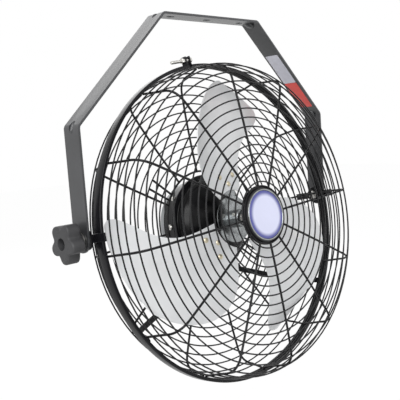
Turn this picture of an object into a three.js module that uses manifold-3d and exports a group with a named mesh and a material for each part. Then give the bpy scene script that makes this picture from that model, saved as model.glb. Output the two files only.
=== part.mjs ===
// Wall mounted fan: a bent strip yoke carries a round wire guarded head that tilts
// on two side bolts. Millimetres, +Z up. The origin is the centre of the yoke's
// mounting face, and the air leaves the head towards -Y.
import * as THREE from 'three';
import { mergeVertices } from 'three/addons/utils/BufferGeometryUtils.js';
import Module from 'manifold-3d';

// ---------------------------------------------------------------- driving sizes
const gap = 0.3;                     // air left between pieces that touch
const boltFit = 0.35;                // radial play of a bolt in its hole

// yoke
const armClearance = 13;             // from the band to the outer face of an arm
const yokeTopWidth = 204;            // between the two upper bends
const yokeHeight = 309;              // tilt axis to mounting face
const shoulderHeight = 152;          // tilt axis to the lower bends
const stripWidth = 35;
const stripThickness = 3.5;
const bendRadius = 4;                // inside radius of each bend
const slotPitch = 75;                // between the three mounting slots
const slotLength = 13;
const slotWidth = 8.5;
const gussetReach = 11;              // pressed stiffening rib across each bend
const gussetWidth = 7;

// head
const headTilt = 8.5;                // degrees that the head looks up at rest
const axisBehindBand = 21.5;         // tilt axis behind the band's mid plane
const axisAboveCentre = 12;          // tilt axis above the fan's own axis

// band that clamps the two guards
const bandRadius = 251;
const bandWidth = 15;
const bandThickness = 1.6;
const bandAngle = 98;                // where the band is split, degrees
const bandSplit = 6;
const earHeight = 13;
const earThickness = 2.5;
const earWidth = 11;
const clampScrewLength = 38;
const clampScrewRadius = 2.5;

// wire guards
const rimWire = 2.2;                 // wire radii
const radialWire = 1.75;
const ringWire = 1.15;
const weldSink = 0.8;                // how deep crossing wires are pressed together
const radialCount = 12;
const guardClock = 3.5;              // degrees that the radials stand off level
const ringPitch = 14.1;
const wireBulk = 1.3;                // corner radius of a three sided wire per wire radius
const frontDepth = 73;
const frontSideLean = 6;
const frontCorner = 30;
const frontDish = 5;                 // how far the face is domed
const frontInner = 44;
const frontFirstRing = 6.4;          // from the inner ring to the next one
const rearDepth = 52;
const rearSideLean = 5;
const rearCorner = 26;
const rearDish = 5;
const rearInner = 86;
const profileSteps = 3;              // straight runs in each bend of a radial wire
const mountStubLength = 42;
const mountStubSpread = 7;           // degrees between the two wires of a pair
const mountStubAngle = 144.5;

// badge
const badgeRadius = 34.7;
const bezelRadius = 39.2;
const badgeProud = 5;

// side pivots
const boltRadius = 4.75;
const boltHeadFlats = 14.3;
const boltHeadHeight = 5.6;
const washerRadius = 11;
const washerThickness = 2;
const spacerRadius = 15;
const spacerThickness = 3;
const bracketThickness = 3;
const bracketHalfLength = 42;
const bracketHeight = 12;
const bracketEarRadius = 15;
const bracketStep = 2.5;
const rivetRadius = 2.4;
const lockNutHeight = 9;
const knobRadius = 29;
const knobLobes = 5;
const knobLobeDepth = 5.5;
const knobThickness = 21;
const knobHubRadius = 14;
const knobHubLength = 7;
const knobRecessRadius = 9.5;
const knobRecessDepth = 4;
const knobBolt = 20;                 // bolt length inside the knob

// motor
const shellRadius = 72;
const shellWall = 2;
const shellFront = 44;               // behind the band's mid plane
const shellLength = 36;
const bellFrontLength = 30;
const bellRearLength = 22;
const bellWall = 3;
const stackLength = 28;
const statorBore = 38.7;
const coreRadius = 38;
const shaftRadius = 6.35;
const shaftPlay = 0.15;
const shaftNose = 16;                // ahead of the hub plane
const bearingRadius = 16;
const bearingWidth = 10;
const bossWall = 4;
const collarRadius = 90;
const collarThickness = 3;
const collarLength = 19;
const strapAngle = 19.5;             // degrees that both straps fall towards the band
const strapOffset = 66;              // how far below the axis both straps pass
const strapWidth = 9;
const strapThickness = 3;
const screwRadius = 2.2;
const screwHeadRadius = 4.6;
const screwHeadHeight = 3;
const screwSpread = 18;              // degrees each side of a pair's middle
const screwAngle = 159;
const switchBoxSize = [52, 24, 36];  // along X, Y, Z
const speedKnobRadius = 13;
const speedKnobLength = 14;
const speedKnobFlats = 12;
const glandRadius = 7;
const glandLength = 12;

// rotor
const bladeCount = 3;
const bladeTip = 221;
const bladeRoot = 46;
const bladeThickness = 1.6;
const bladeMid = -12;                // hub plane, measured from the band's mid plane
const bladeCamber = 7;
const bladeAngle = 93;               // middle of the first arm, degrees
// Cubics in the share of the blade's length: the angle of each edge from the arm in
// degrees, and its depth behind the hub plane.
const leadAngle = [-32.5, 48.7, -111.7, 46.8];
const trailAngle = [39.7, 24.3, -103.9, 42.5];
const leadDepth = [1, 41, -38, 45.5];
const trailDepth = [-5.5, -4, -109, 106.5];
const tipStart = 0.63;               // share of the length where the tip starts to round
const tipWidth = 0.59;               // share of the width that is left at the tip
const rotorHubRadius = 14;
const rotorHubFront = 17;
const rotorHubBack = 8;
const spiderRadius = 37;
const spiderThickness = 2.5;
const armTip = 84;
const armHalfWidth = 23;             // at the tip
const armTaper = 0.24;
const rivetCircle = 71;
const rivetInner = 56;
const rivetSpread = 14;              // degrees
const rivetHeadRadius = 4.2;
const rivetHeadHeight = 1.8;
const setScrewRadius = 3;
const setScrewAngle = 150;

// round pieces' facets
const fine = 48;
const middle = 24;
const small = 12;

// ---------------------------------------------------------------- derived places
const rad = THREE.MathUtils.degToRad;
const armOuter = bandRadius + armClearance;
const yokeWidth = 2 * armOuter;
const armInner = armOuter - stripThickness;
const earOuter = armInner - gap - spacerThickness - gap;
const earInner = earOuter - bracketThickness;
const rimCentre = bandRadius - bandThickness - gap - rimWire;
const radialEnd = rimCentre - rimWire - radialWire + weldSink;
const bandLip = radialEnd + radialWire + 0.45;
const rimOffset = rimWire + gap;
const ringSeat = ringWire + radialWire - weldSink / 8;
const bandClear = bandWidth / 2 - rimOffset + ringWire * wireBulk + 2;
const hubPlane = bladeMid;
const shellBack = shellFront + shellLength;
const motorFront = shellFront - bellFrontLength;
const motorBack = shellBack + bellRearLength;
const frontBearing = motorFront + bellWall + 0.4;
const rearBearing = motorBack - bellWall - 0.4 - bearingWidth;

// ---------------------------------------------------------------- materials
const paint = (color, roughness, metalness) =>
  new THREE.MeshStandardMaterial({ color, roughness, metalness });
const gloss = paint(0x1b1c1d, 0.35, 0.3);
const wire = paint(0x141414, 0.4, 0.3);
const steel = paint(0xc8cacc, 0.3, 0.9);
const aluminium = paint(0xdfe2e4, 0.35, 0.8);
const silver = paint(0x9fa2a4, 0.4, 0.7);
const plastic = paint(0x232323, 0.6, 0);
const rubber = paint(0x101010, 0.85, 0);
const copper = paint(0x8a8d90, 0.5, 0.6);
const white = paint(0xd9dbef, 0.3, 0);

// ---------------------------------------------------------------- solid helpers
const wasm = await Module();
wasm.setup();

function toSolid(geometry) {
  const bare = geometry.clone();
  for (const name of Object.keys(bare.attributes)) {
    if (name !== 'position') bare.deleteAttribute(name);
  }
  const merged = mergeVertices(bare, 1e-4);
  return new wasm.Manifold(new wasm.Mesh({
    numProp: 3,
    vertProperties: new Float32Array(merged.attributes.position.array),
    triVerts: new Uint32Array(merged.index.array),
  }));
}

function toGeometry(solid) {
  const data = solid.getMesh();
  const geometry = new THREE.BufferGeometry();
  geometry.setAttribute('position', new THREE.BufferAttribute(data.vertProperties, 3));
  geometry.setIndex(new THREE.BufferAttribute(data.triVerts, 1));
  return geometry;
}

const join = (first, ...rest) => rest.reduce((whole, piece) => whole.add(toSolid(piece)), toSolid(first));
const cut = (solid, ...tools) => tools.reduce((whole, tool) => whole.subtract(toSolid(tool)), solid);

function piece(parent, name, shape, material) {
  const geometry = shape.isBufferGeometry ? shape : toGeometry(shape);
  const mesh = new THREE.Mesh(geometry, material);
  mesh.name = name;
  parent.add(mesh);
  return mesh;
}

// A profile of [radius, y] pairs turned about the Y axis.
function turned(profile, segments = middle) {
  const points = profile.map(([radius, y]) => new THREE.Vector2(radius, y));
  const onAxis = points[0].x === 0 && points.at(-1).x === 0;
  if (!onAxis) points.push(points[0].clone());
  if (THREE.ShapeUtils.area(points) < 0) points.reverse();
  return new THREE.LatheGeometry(points, segments);
}

// A round rod from one point to another.
function rod(from, to, radius, sides = small) {
  const axis = new THREE.Vector3().subVectors(to, from);
  const geometry = new THREE.CylinderGeometry(radius, radius, axis.length(), sides);
  const turn = new THREE.Quaternion().setFromUnitVectors(new THREE.Vector3(0, 1, 0), axis.clone().normalize());
  const middlePoint = new THREE.Vector3().addVectors(from, to).multiplyScalar(0.5);
  return geometry.applyQuaternion(turn).translate(middlePoint.x, middlePoint.y, middlePoint.z);
}

const alongX = (from, to, radius, sides = small, y = 0, z = 0) =>
  rod(new THREE.Vector3(from, y, z), new THREE.Vector3(to, y, z), radius, sides);
const alongY = (from, to, radius, sides = small, x = 0, z = 0) =>
  rod(new THREE.Vector3(x, from, z), new THREE.Vector3(x, to, z), radius, sides);
const block = (sizeX, sizeY, sizeZ, x, y, z) =>
  new THREE.BoxGeometry(sizeX, sizeY, sizeZ).translate(x, y, z);
const hexRadius = (flats) => flats / 2 / Math.cos(Math.PI / 6);

// A point at a radius and an angle about the fan's axis, seen from the front.
const polar = (radius, degrees, y) =>
  new THREE.Vector3(radius * Math.cos(rad(degrees)), y, radius * Math.sin(rad(degrees)));

// The side view of a strip bent at every inner point of a path. The path is the
// strip's outer face, and the strip lies on the right of it.
function bentStrip(path, thickness, insideRadius) {
  const points = path.map(([x, y]) => new THREE.Vector2(x, y));
  const outerRadius = insideRadius + thickness;
  const right = (direction) => new THREE.Vector2(direction.y, -direction.x);
  const bends = [];
  for (let i = 1; i < points.length - 1; i += 1) {
    const before = points[i].clone().sub(points[i - 1]).normalize();
    const after = points[i + 1].clone().sub(points[i]).normalize();
    const turnAngle = Math.atan2(before.cross(after), before.dot(after));
    const inward = turnAngle < 0;
    const radius = inward ? outerRadius : insideRadius;
    const back = before.clone().multiplyScalar(-radius * Math.tan(Math.abs(turnAngle) / 2));
    const side = right(before).multiplyScalar(inward ? radius : -radius);
    const centre = points[i].clone().add(back).add(side);
    const start = Math.atan2(-side.y, -side.x);
    bends.push({ centre, inward, start, end: start + turnAngle });
  }
  const first = right(points[1].clone().sub(points[0]).normalize()).multiplyScalar(thickness);
  const last = right(points.at(-1).clone().sub(points.at(-2)).normalize()).multiplyScalar(thickness);
  const shape = new THREE.Shape();
  shape.moveTo(points[0].x, points[0].y);
  for (const { centre, inward, start, end } of bends) {
    shape.absarc(centre.x, centre.y, inward ? outerRadius : insideRadius, start, end, inward);
  }
  shape.lineTo(points.at(-1).x, points.at(-1).y);
  shape.lineTo(points.at(-1).x + last.x, points.at(-1).y + last.y);
  for (const { centre, inward, start, end } of bends.reverse()) {
    shape.absarc(centre.x, centre.y, inward ? insideRadius : outerRadius, end, start, !inward);
  }
  shape.lineTo(points[0].x + first.x, points[0].y + first.y);
  shape.closePath();
  return shape;
}

// Extrudes an XZ side view along Y, centred on y = 0.
const extrudeAlongY = (shape, width, curveSegments = 2) =>
  new THREE.ExtrudeGeometry(shape, { depth: width, bevelEnabled: false, curveSegments })
    .rotateX(Math.PI / 2).translate(0, width / 2, 0);

// ---------------------------------------------------------------- yoke
function yokeBracket(parent) {
  const top = yokeTopWidth / 2;
  const end = stripWidth / 2;
  const corners = [[-armOuter, -end], [-armOuter, shoulderHeight], [-top, yokeHeight],
    [top, yokeHeight], [armOuter, shoulderHeight], [armOuter, -end]];
  let body = toSolid(extrudeAlongY(bentStrip(corners, stripThickness, bendRadius), stripWidth));
  body = roundArmEnds(body);
  body = pressGussets(body, corners);
  for (const place of [-1, 0, 1]) {
    body = cut(body, mountingSlot(place * slotPitch));
  }
  body = cut(body, alongX(-armOuter - 1, armOuter + 1, boltRadius + boltFit));
  piece(parent, 'yoke_bracket', toGeometry(body).translate(0, 0, -yokeHeight), gloss);
}

// Both lower arm ends are half round about the tilt axis.
function roundArmEnds(body) {
  const end = stripWidth / 2;
  const corner = block(yokeWidth + 2, stripWidth + 2, end + 1, 0, 0, -(end + 1) / 2);
  const rounding = alongX(-armOuter - 2, armOuter + 2, end, middle);
  return body.subtract(toSolid(corner).subtract(toSolid(rounding)));
}

// A short rib pressed through the strip at every bend: a groove outside, a rise inside.
function pressGussets(body, corners) {
  let pressed = body;
  for (let i = 1; i < corners.length - 1; i += 1) {
    const [corner, before, after] = [corners[i], corners[i - 1], corners[i + 1]]
      .map(([x, z]) => new THREE.Vector2(x, z));
    const first = before.sub(corner).normalize();
    const second = after.sub(corner).normalize();
    const inward = first.clone().add(second).normalize();
    const insideCorner = corner.clone().addScaledVector(inward, stripThickness / Math.abs(inward.cross(first)));
    const rib = gussetWedge(insideCorner, first, second, inward, gussetReach, gussetWidth, 1);
    const groove = gussetWedge(corner, first, second, inward, gussetReach - 3, gussetWidth - 2, 3);
    pressed = cut(pressed.add(toSolid(rib)), groove);
  }
  return pressed;
}

// A three sided prism across a bend, its third edge sunk behind the corner.
function gussetWedge(corner, first, second, inward, reach, width, sink) {
  const shape = new THREE.Shape([
    corner.clone().addScaledVector(first, reach),
    corner.clone().addScaledVector(inward, -sink),
    corner.clone().addScaledVector(second, reach),
  ]);
  return extrudeAlongY(shape, width);
}

function mountingSlot(x) {
  const reach = (slotLength - slotWidth) / 2;
  const shape = new THREE.Shape();
  shape.absarc(x + reach, 0, slotWidth / 2, -Math.PI / 2, Math.PI / 2);
  shape.absarc(x - reach, 0, slotWidth / 2, Math.PI / 2, Math.PI * 1.5);
  return new THREE.ExtrudeGeometry(shape, { depth: stripThickness * 3, bevelEnabled: false, curveSegments: 5 })
    .translate(0, 0, yokeHeight - stripThickness * 2);
}

// ---------------------------------------------------------------- side pivots
const ring = (side, from, to, outer, bore, sides = 16) =>
  toSolid(alongX(side * from, side * to, outer, sides)).subtract(
    toSolid(alongX(side * (from - 1), side * (to + 1), bore, sides)));

// A steel bar along the head's side with a round ear for the bolt.
function pivotBracket(side) {
  const back = bracketHalfLength;
  const bandPlane = -axisBehindBand;
  const step = bandPlane + bandWidth / 2 + 1.5;
  const padFace = earOuter - bracketStep;
  const path = [[padFace, -back], [padFace, step], [earOuter, step + 5], [earOuter, back]];
  const bar = new THREE.ExtrudeGeometry(bentStrip(path.reverse(), bracketThickness, 1),
    { depth: bracketHeight, bevelEnabled: false, curveSegments: 2 }).translate(0, 0, -bracketHeight / 2);
  if (side < 0) bar.rotateY(Math.PI);
  let body = join(bar, alongX(side * earInner, side * earOuter, bracketEarRadius, 16));
  return cut(body, alongX(side * (earInner - 2), side * (earOuter + 2), boltRadius + boltFit));
}

function pivotBolt(side, length) {
  const head = alongX(side * (earInner - gap - boltHeadHeight), side * (earInner - gap),
    hexRadius(boltHeadFlats), 6);
  const shank = alongX(side * (earInner - gap - 1), side * (earInner - gap + length), boltRadius);
  return join(head, shank);
}

function starKnob() {
  const outline = new THREE.Shape();
  const steps = knobLobes * 8;
  const mean = knobRadius - knobLobeDepth / 2;
  for (let i = 0; i < steps; i += 1) {
    const angle = (i / steps) * Math.PI * 2;
    const radius = mean + (knobLobeDepth / 2) * Math.sin(angle * knobLobes)
      + 0.8 * Math.cos(2 * angle * knobLobes);
    const point = [radius * Math.cos(angle), radius * Math.sin(angle)];
    if (i === 0) outline.moveTo(...point);
    else outline.lineTo(...point);
  }
  outline.closePath();
  const bevel = 3;
  const start = armOuter + gap + washerThickness + gap;
  const grip = new THREE.ExtrudeGeometry(outline, {
    depth: knobThickness - 2 * bevel, bevelEnabled: true, bevelThickness: bevel,
    bevelSize: bevel, bevelOffset: -bevel, bevelSegments: 1,
  }).translate(0, 0, bevel + start + knobHubLength).rotateY(-Math.PI / 2);
  const end = start + knobHubLength + knobThickness;
  const body = join(grip, alongX(-start, -start - knobHubLength - 2, knobHubRadius, middle));
  return cut(body,
    alongX(-start + 1, -start - knobBolt - 1, boltRadius + boltFit),
    alongX(-end - 1, -end + knobRecessDepth, knobRecessRadius, middle));
}

function sidePivots(head, yoke) {
  for (const [side, name] of [[-1, 'left'], [1, 'right']]) {
    piece(head, `${name}_pivot_bracket`, pivotBracket(side), gloss);
    const spacer = ring(side, earOuter + gap, armInner - gap, spacerRadius, boltRadius + boltFit);
    piece(head, `${name}_friction_spacer`, spacer, rubber);
  }
  const washer = (side) => ring(side, armOuter + gap, armOuter + gap + washerThickness,
    washerRadius, boltRadius + boltFit);
  piece(head, 'left_pivot_washer', washer(-1), steel);
  piece(head, 'right_pivot_washer', washer(1), steel);
  const outside = armOuter + gap + washerThickness + gap;
  piece(head, 'left_pivot_bolt', pivotBolt(-1, outside + knobBolt - earInner), steel);
  piece(head, 'right_pivot_bolt', pivotBolt(1, outside + lockNutHeight + 3 - earInner), steel);
  const nut = toSolid(alongX(outside, outside + lockNutHeight, hexRadius(boltHeadFlats), 6))
    .subtract(toSolid(alongX(outside - 1, outside + lockNutHeight + 1, boltRadius + boltFit)));
  piece(head, 'right_lock_nut', nut, steel);
  piece(head, 'star_knob', starKnob(), plastic);
}

// ---------------------------------------------------------------- guards
// The side view of a guard from its rim to its middle, in radius and depth.
function guardProfile(depth, lean, corner, dish, inner) {
  const side = radialEnd - lean;
  const face = depth - dish;
  const path = new THREE.Path();
  path.moveTo(radialEnd, rimOffset);
  path.lineTo(side, face - corner);
  path.quadraticCurveTo(side - 1, face - 1, side - corner, face);
  path.quadraticCurveTo((side + inner) / 2, depth, inner, depth);
  return new THREE.Path(path.getPoints(profileSteps));
}

// The direction out of the cage at a share of the profile's length.
function outwardAt(profile, share) {
  const tangent = profile.getTangent(share);
  return new THREE.Vector2(tangent.y, -tangent.x);
}

// The corners of a wire's three sided section, the first one towards `toward`.
function wireCorners(centre, toward, wireRadius) {
  return [0, 120, 240].map((turn) =>
    toward.clone().rotateAround(new THREE.Vector2(), rad(turn)).multiplyScalar(wireRadius * wireBulk).add(centre));
}

// A welded ring, with the middle of one straight run on each radial wire.
function wireRing(centre, outward, wireRadius) {
  const corners = wireCorners(centre, outward.clone().negate(), wireRadius);
  const grow = 1 / Math.cos(Math.PI / middle);
  return turned(corners.map(({ x, y }) => [x * grow, y]), middle).rotateY(-rad(guardClock + 180 / middle));
}

function rimRing(facing) {
  const y = facing * rimOffset;
  return turned([[rimCentre - rimWire, y], [rimCentre + rimWire * 0.9, y - rimWire],
    [rimCentre + rimWire * 0.9, y + rimWire]], fine).rotateY(-rad(guardClock));
}

// One radial wire, mitred at each point of the profile.
function radialWireGeometry(profile, facing, degrees) {
  const points = profile.getPoints(1);
  const side = radialWire * wireBulk;
  const positions = [];
  points.forEach((point, i) => {
    const before = points[Math.max(i - 1, 0)];
    const after = points[Math.min(i + 1, points.length - 1)];
    const along = after.clone().sub(before).normalize();
    const outward = new THREE.Vector2(along.y, -along.x);
    const ridge = point.clone().addScaledVector(outward, side);
    const base = point.clone().addScaledVector(outward, -side / 2);
    const half = side * Math.sin(rad(60));
    positions.push(ridge.x, facing * ridge.y, 0, base.x, facing * base.y, half, base.x, facing * base.y, -half);
  });
  const last = (points.length - 1) * 3;
  const faces = [0, 1, 2, last, last + 2, last + 1];
  for (let i = 0; i < last; i += 3) {
    for (let corner = 0; corner < 3; corner += 1) {
      const next = (corner + 1) % 3;
      faces.push(i + corner, i + 3 + corner, i + 3 + next, i + corner, i + 3 + next, i + next);
    }
  }
  if (facing < 0) faces.reverse();
  const geometry = new THREE.BufferGeometry();
  geometry.setAttribute('position', new THREE.Float32BufferAttribute(positions, 3));
  geometry.setIndex(faces);
  return geometry.rotateY(-rad(degrees));
}

function guard(facing, profile, firstRing, innerWire) {
  const length = profile.getLength();
  const ringAt = (distance, wireRadius, seat) => {
    const share = 1 - distance / length;
    const outward = outwardAt(profile, share);
    const centre = profile.getPoint(share).addScaledVector(outward, seat);
    centre.y *= facing;
    outward.y *= facing;
    return toSolid(wireRing(centre, outward, wireRadius));
  };
  let body = toSolid(rimRing(facing)).add(ringAt(0, innerWire, innerWire / 2));
  for (let i = 0; i < radialCount; i += 1) {
    body = body.add(toSolid(radialWireGeometry(profile, facing, guardClock + (i * 360) / radialCount)));
  }
  for (let along = firstRing; along < length - bandClear; along += ringPitch) {
    body = body.add(ringAt(along, ringWire, ringSeat));
  }
  return body;
}

const frontProfile = guardProfile(frontDepth, frontSideLean, frontCorner, frontDish, frontInner);
const rearProfile = guardProfile(rearDepth, rearSideLean, rearCorner, rearDish, rearInner);

function guards(fan) {
  piece(fan, 'front_guard', guard(-1, frontProfile, frontFirstRing, ringWire), wire);
  let body = guard(1, rearProfile, ringPitch, radialWire);
  for (let quarter = 0; quarter < 4; quarter += 1) {
    for (const side of [-0.5, 0.5]) {
      const angle = mountStubAngle + quarter * 90 + side * mountStubSpread;
      body = body.add(toSolid(rod(polar(rearInner, angle, rearDepth),
        polar(rearInner + mountStubLength, angle, rearDepth), radialWire, 4)));
    }
  }
  piece(fan, 'rear_guard', body, wire);
}

// A split channel of rolled steel with two ears drawn together by a screw.
function clampBand(fan) {
  const half = bandWidth / 2;
  const inside = bandRadius - bandThickness;
  const channel = turned([[bandLip, -half], [bandRadius, -half], [bandRadius, half], [bandLip, half],
    [bandLip, half - bandThickness], [inside, half - bandThickness],
    [inside, -half + bandThickness], [bandLip, -half + bandThickness]], fine);
  channel.rotateY(-rad(guardClock));
  const earRoot = bandRadius - bandThickness + 0.4;
  const ear = (side) => block(earThickness, earWidth, earHeight + bandThickness,
    side * (bandSplit + earThickness) / 2, 0, earRoot + (earHeight + bandThickness) / 2);
  const screwHeight = bandRadius + earHeight * 0.55;
  let body = cut(toSolid(channel), block(bandSplit, bandWidth * 2, 20, 0, 0, bandRadius)
    .rotateY(-rad(bandAngle - 90)));
  body = body.add(toSolid(ear(-1).rotateY(-rad(bandAngle - 90))));
  body = body.add(toSolid(ear(1).rotateY(-rad(bandAngle - 90))));
  body = cut(body, alongX(-20, 20, clampScrewRadius + boltFit, small, 0, screwHeight)
    .rotateY(-rad(bandAngle - 90)));
  piece(fan, 'guard_band', body, gloss);
  const face = bandSplit / 2 + earThickness + gap;
  const screw = join(
    alongX(face, face + 4, hexRadius(8), 6, 0, screwHeight),
    alongX(face + 1, face - clampScrewLength, clampScrewRadius, small, 0, screwHeight));
  const nut = toSolid(alongX(-face, -face - 5, hexRadius(8), 6, 0, screwHeight))
    .subtract(toSolid(alongX(-face + 1, -face - 6, clampScrewRadius + boltFit, small, 0, screwHeight)));
  for (const [name, shape] of [['band_clamp_screw', screw], ['band_clamp_nut', nut]]) {
    piece(fan, name, toGeometry(shape).rotateY(-rad(bandAngle - 90)), steel);
  }
}

// ---------------------------------------------------------------- badge
function badge(fan) {
  const cupRadius = frontInner - (ringWire + gap) * wireBulk - gap;
  const face = -frontDepth - badgeProud;
  const plateFront = -frontDepth + (radialWire * wireBulk) / 2 + gap + 0.1;
  const back = plateFront - gap;
  const cup = turned([[0, face + 3], [bezelRadius + 0.4, face + 3], [bezelRadius + 0.4, face + 0.8],
    [cupRadius, face + 2.5], [cupRadius, back], [3, back], [3, back - 2], [0, back - 2]]);
  piece(fan, 'badge_cup', cup, plastic);
  const bezel = turned([[badgeRadius + gap, face + 2.6], [badgeRadius + gap, face],
    [bezelRadius - 2, face - 0.6], [bezelRadius, face + 0.6], [bezelRadius, face + 2.6]]);
  piece(fan, 'badge_bezel', bezel, steel);
  const disc = turned([[0, face + 2.6], [badgeRadius, face + 2.6], [badgeRadius, face + 1.2],
    [badgeRadius * 0.6, face + 0.4], [0, face + 0.4]]);
  piece(fan, 'badge_disc', disc, white);
  const plate = turned([[3.2, plateFront], [frontInner + 5, plateFront], [frontInner + 5, plateFront + 1.5],
    [3.2, plateFront + 1.5]]);
  piece(fan, 'badge_backplate', plate, steel);
  const screw = turned([[0, back - 1.7], [2.6, back - 1.7], [2.6, plateFront + 1.5 + gap],
    [5, plateFront + 1.5 + gap], [4.2, plateFront + 4], [0, plateFront + 4.4]], 8);
  piece(fan, 'badge_screw', screw, steel);
}

// ---------------------------------------------------------------- motor
function motor(fan) {
  const shell = cut(toSolid(turned([[shellRadius - shellWall, shellFront + gap], [shellRadius, shellFront + gap],
    [shellRadius, shellBack - gap], [shellRadius - shellWall, shellBack - gap]])), ...motorScrewHoles());
  piece(fan, 'motor_shell', shell, gloss);
  piece(fan, 'motor_front_bell', frontBell(), gloss);
  piece(fan, 'motor_rear_bell', rearBell(), silver);
  const stackFront = shellFront + (shellLength - stackLength) / 2;
  const stator = turned([[statorBore, stackFront], [shellRadius - shellWall - 0.5, stackFront],
    [shellRadius - shellWall - 0.5, stackFront + stackLength], [statorBore, stackFront + stackLength]]);
  piece(fan, 'motor_stator', stator, copper);
  for (const [name, start] of [['front_bearing', frontBearing], ['rear_bearing', rearBearing]]) {
    const bearing = turned([[shaftRadius + shaftPlay, start], [bearingRadius, start],
      [bearingRadius, start + bearingWidth], [shaftRadius + shaftPlay, start + bearingWidth]], 16);
    piece(fan, name, bearing, steel);
  }
}

// The bells' side views share their boss, wall and bearing seat.
function frontBell() {
  const seat = bearingRadius + gap;
  const boss = seat + bossWall;
  const floor = motorFront + bellWall;
  const wall = bellWall;
  const hole = shaftRadius + 2.5;
  return turned([[hole, motorFront], [boss + 6, motorFront], [shellRadius - 14, motorFront + 10],
    [shellRadius, motorFront + 25], [shellRadius, shellFront], [shellRadius - wall, shellFront],
    [shellRadius - wall, motorFront + 27], [boss + 8, motorFront + 5], [boss, motorFront + 5],
    [boss, frontBearing + bearingWidth], [seat, frontBearing + bearingWidth], [seat, floor], [hole, floor]]);
}

function rearBell() {
  const seat = bearingRadius + gap;
  const boss = seat + bossWall;
  const floor = motorBack - bellWall;
  const wall = bellWall;
  return turned([[0, motorBack], [shellRadius - 22, motorBack], [shellRadius - 5, motorBack - 7],
    [shellRadius, motorBack - 15],
    [shellRadius, shellBack], [shellRadius - wall, shellBack], [shellRadius - wall, motorBack - 16],
    [shellRadius - 24, motorBack - 4], [boss, motorBack - 4], [boss, rearBearing],
    [seat, rearBearing], [seat, floor], [0, floor]]);
}

const motorScrewAngles = [0, 180].flatMap((half) =>
  [-screwSpread, screwSpread].map((offset) => screwAngle + half + offset));
const screwPlane = shellFront + collarLength * 0.8;
const collarInner = shellRadius + gap + 0.1;
const collarOuter = collarInner + collarThickness;
const motorScrewHoles = () => motorScrewAngles.map((angle) =>
  rod(polar(shellRadius - 8, angle, screwPlane), polar(collarOuter + 8, angle, screwPlane),
    screwRadius + boltFit, 8));

// A collar round the motor, held to the rear guard by its rim and two flat straps.
function motorMount(fan) {
  const front = shellFront + 2.5;
  const collar = turned([[collarInner, front], [collarRadius, front], [collarRadius, front + collarThickness],
    [collarOuter, front + collarThickness], [collarOuter, front + collarLength],
    [collarInner, front + collarLength]]);
  let body = toSolid(collar);
  body = body.add(toSolid(mountStrap(rearProfile, 1).rotateY(-rad(180 + strapAngle))));
  body = body.add(toSolid(mountStrap(rearProfile, -1).rotateY(rad(strapAngle))));
  piece(fan, 'motor_mount', cut(body, ...motorScrewHoles()), gloss);
  motorScrewAngles.forEach((angle, index) => {
    const screw = join(
      rod(polar(collarOuter + gap, angle, screwPlane),
        polar(collarOuter + gap + screwHeadHeight, angle, screwPlane), screwHeadRadius, 8),
      rod(polar(shellRadius - shellWall, angle, screwPlane),
        polar(collarOuter + gap + 1, angle, screwPlane), screwRadius, 8));
    piece(fan, `motor_screw_${index + 1}`, screw, steel);
  });
}

// A polyline moved sideways towards the inside of the cage.
function inset(points, distance) {
  return points.map((point, i) => {
    const before = point.clone().sub(points[Math.max(i - 1, 0)]);
    const after = points[Math.min(i + 1, points.length - 1)].clone().sub(point);
    const along = before.normalize().add(after.normalize()).normalize();
    return point.clone().add(new THREE.Vector2(-along.y, along.x).multiplyScalar(distance));
  });
}

// Lies against the inside of the rear guard from the rim to the collar, to one side of
// the axis.
function mountStrap(profile, side) {
  const clear = radialWire * wireBulk / 2 + gap + 0.2;
  const points = inset(profile.getPoints(1), clear).map((point) =>
    new THREE.Vector2(Math.sqrt(point.x * point.x - strapOffset * strapOffset), point.y));
  const shape = new THREE.Shape([...points, ...inset(points, strapThickness).reverse()]);
  return new THREE.ExtrudeGeometry(shape, { depth: strapWidth, bevelEnabled: false })
    .translate(0, 0, side * strapOffset - strapWidth / 2);
}

// ---------------------------------------------------------------- speed switch
function speedSwitch(fan) {
  const [sizeX, sizeY, sizeZ] = switchBoxSize;
  const boxFront = motorBack + gap;
  const shape = new THREE.Shape([[-0.5, -0.5], [0.5, -0.5], [0.5, 0.5], [-0.5, 0.5]]
    .map(([x, z]) => new THREE.Vector2(x * (sizeX - 4), z * (sizeZ - 4))));
  const body = new THREE.ExtrudeGeometry(shape, {
    depth: sizeY - 2, bevelEnabled: true, bevelThickness: 2, bevelSize: 2, bevelSegments: 2,
  }).rotateX(Math.PI / 2);
  body.translate(0, boxFront + sizeY, 0);
  const flat = cut(toSolid(body), block(sizeX * 2, 10, sizeZ * 2, 0, boxFront - 5, 0));
  const back = boxFront + sizeY;
  const glandPlane = boxFront + sizeY / 2;
  piece(fan, 'switch_box', cut(flat, alongY(back - 6, back + 5, 3 + boltFit)), plastic);
  const knob = join(
    alongY(back + 2 + gap, back + 2 + gap + speedKnobLength, speedKnobRadius, speedKnobFlats),
    alongY(back - 5, back + 4, 3));
  piece(fan, 'speed_knob', knob, plastic);
  const gland = join(
    rod(new THREE.Vector3(0, glandPlane, -sizeZ / 2 - gap),
      new THREE.Vector3(0, glandPlane, -sizeZ / 2 - gap - 4), glandRadius, 6),
    rod(new THREE.Vector3(0, glandPlane, -sizeZ / 2 - gap - 3),
      new THREE.Vector3(0, glandPlane, -sizeZ / 2 - gap - glandLength), glandRadius * 0.75, small));
  piece(fan, 'cord_gland', gland, plastic);
}

// ---------------------------------------------------------------- rotor
const cubic = ([a, b, c, d], share) => a + share * (b + share * (c + share * d));

// How much of the blade's width is left where its tip rounds off.
function tipShare(share) {
  const along = Math.max(share - tipStart, 0) / (1 - tipStart);
  return tipWidth + (1 - tipWidth) * Math.sqrt(Math.max(0, 1 - along ** 2.4));
}

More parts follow.
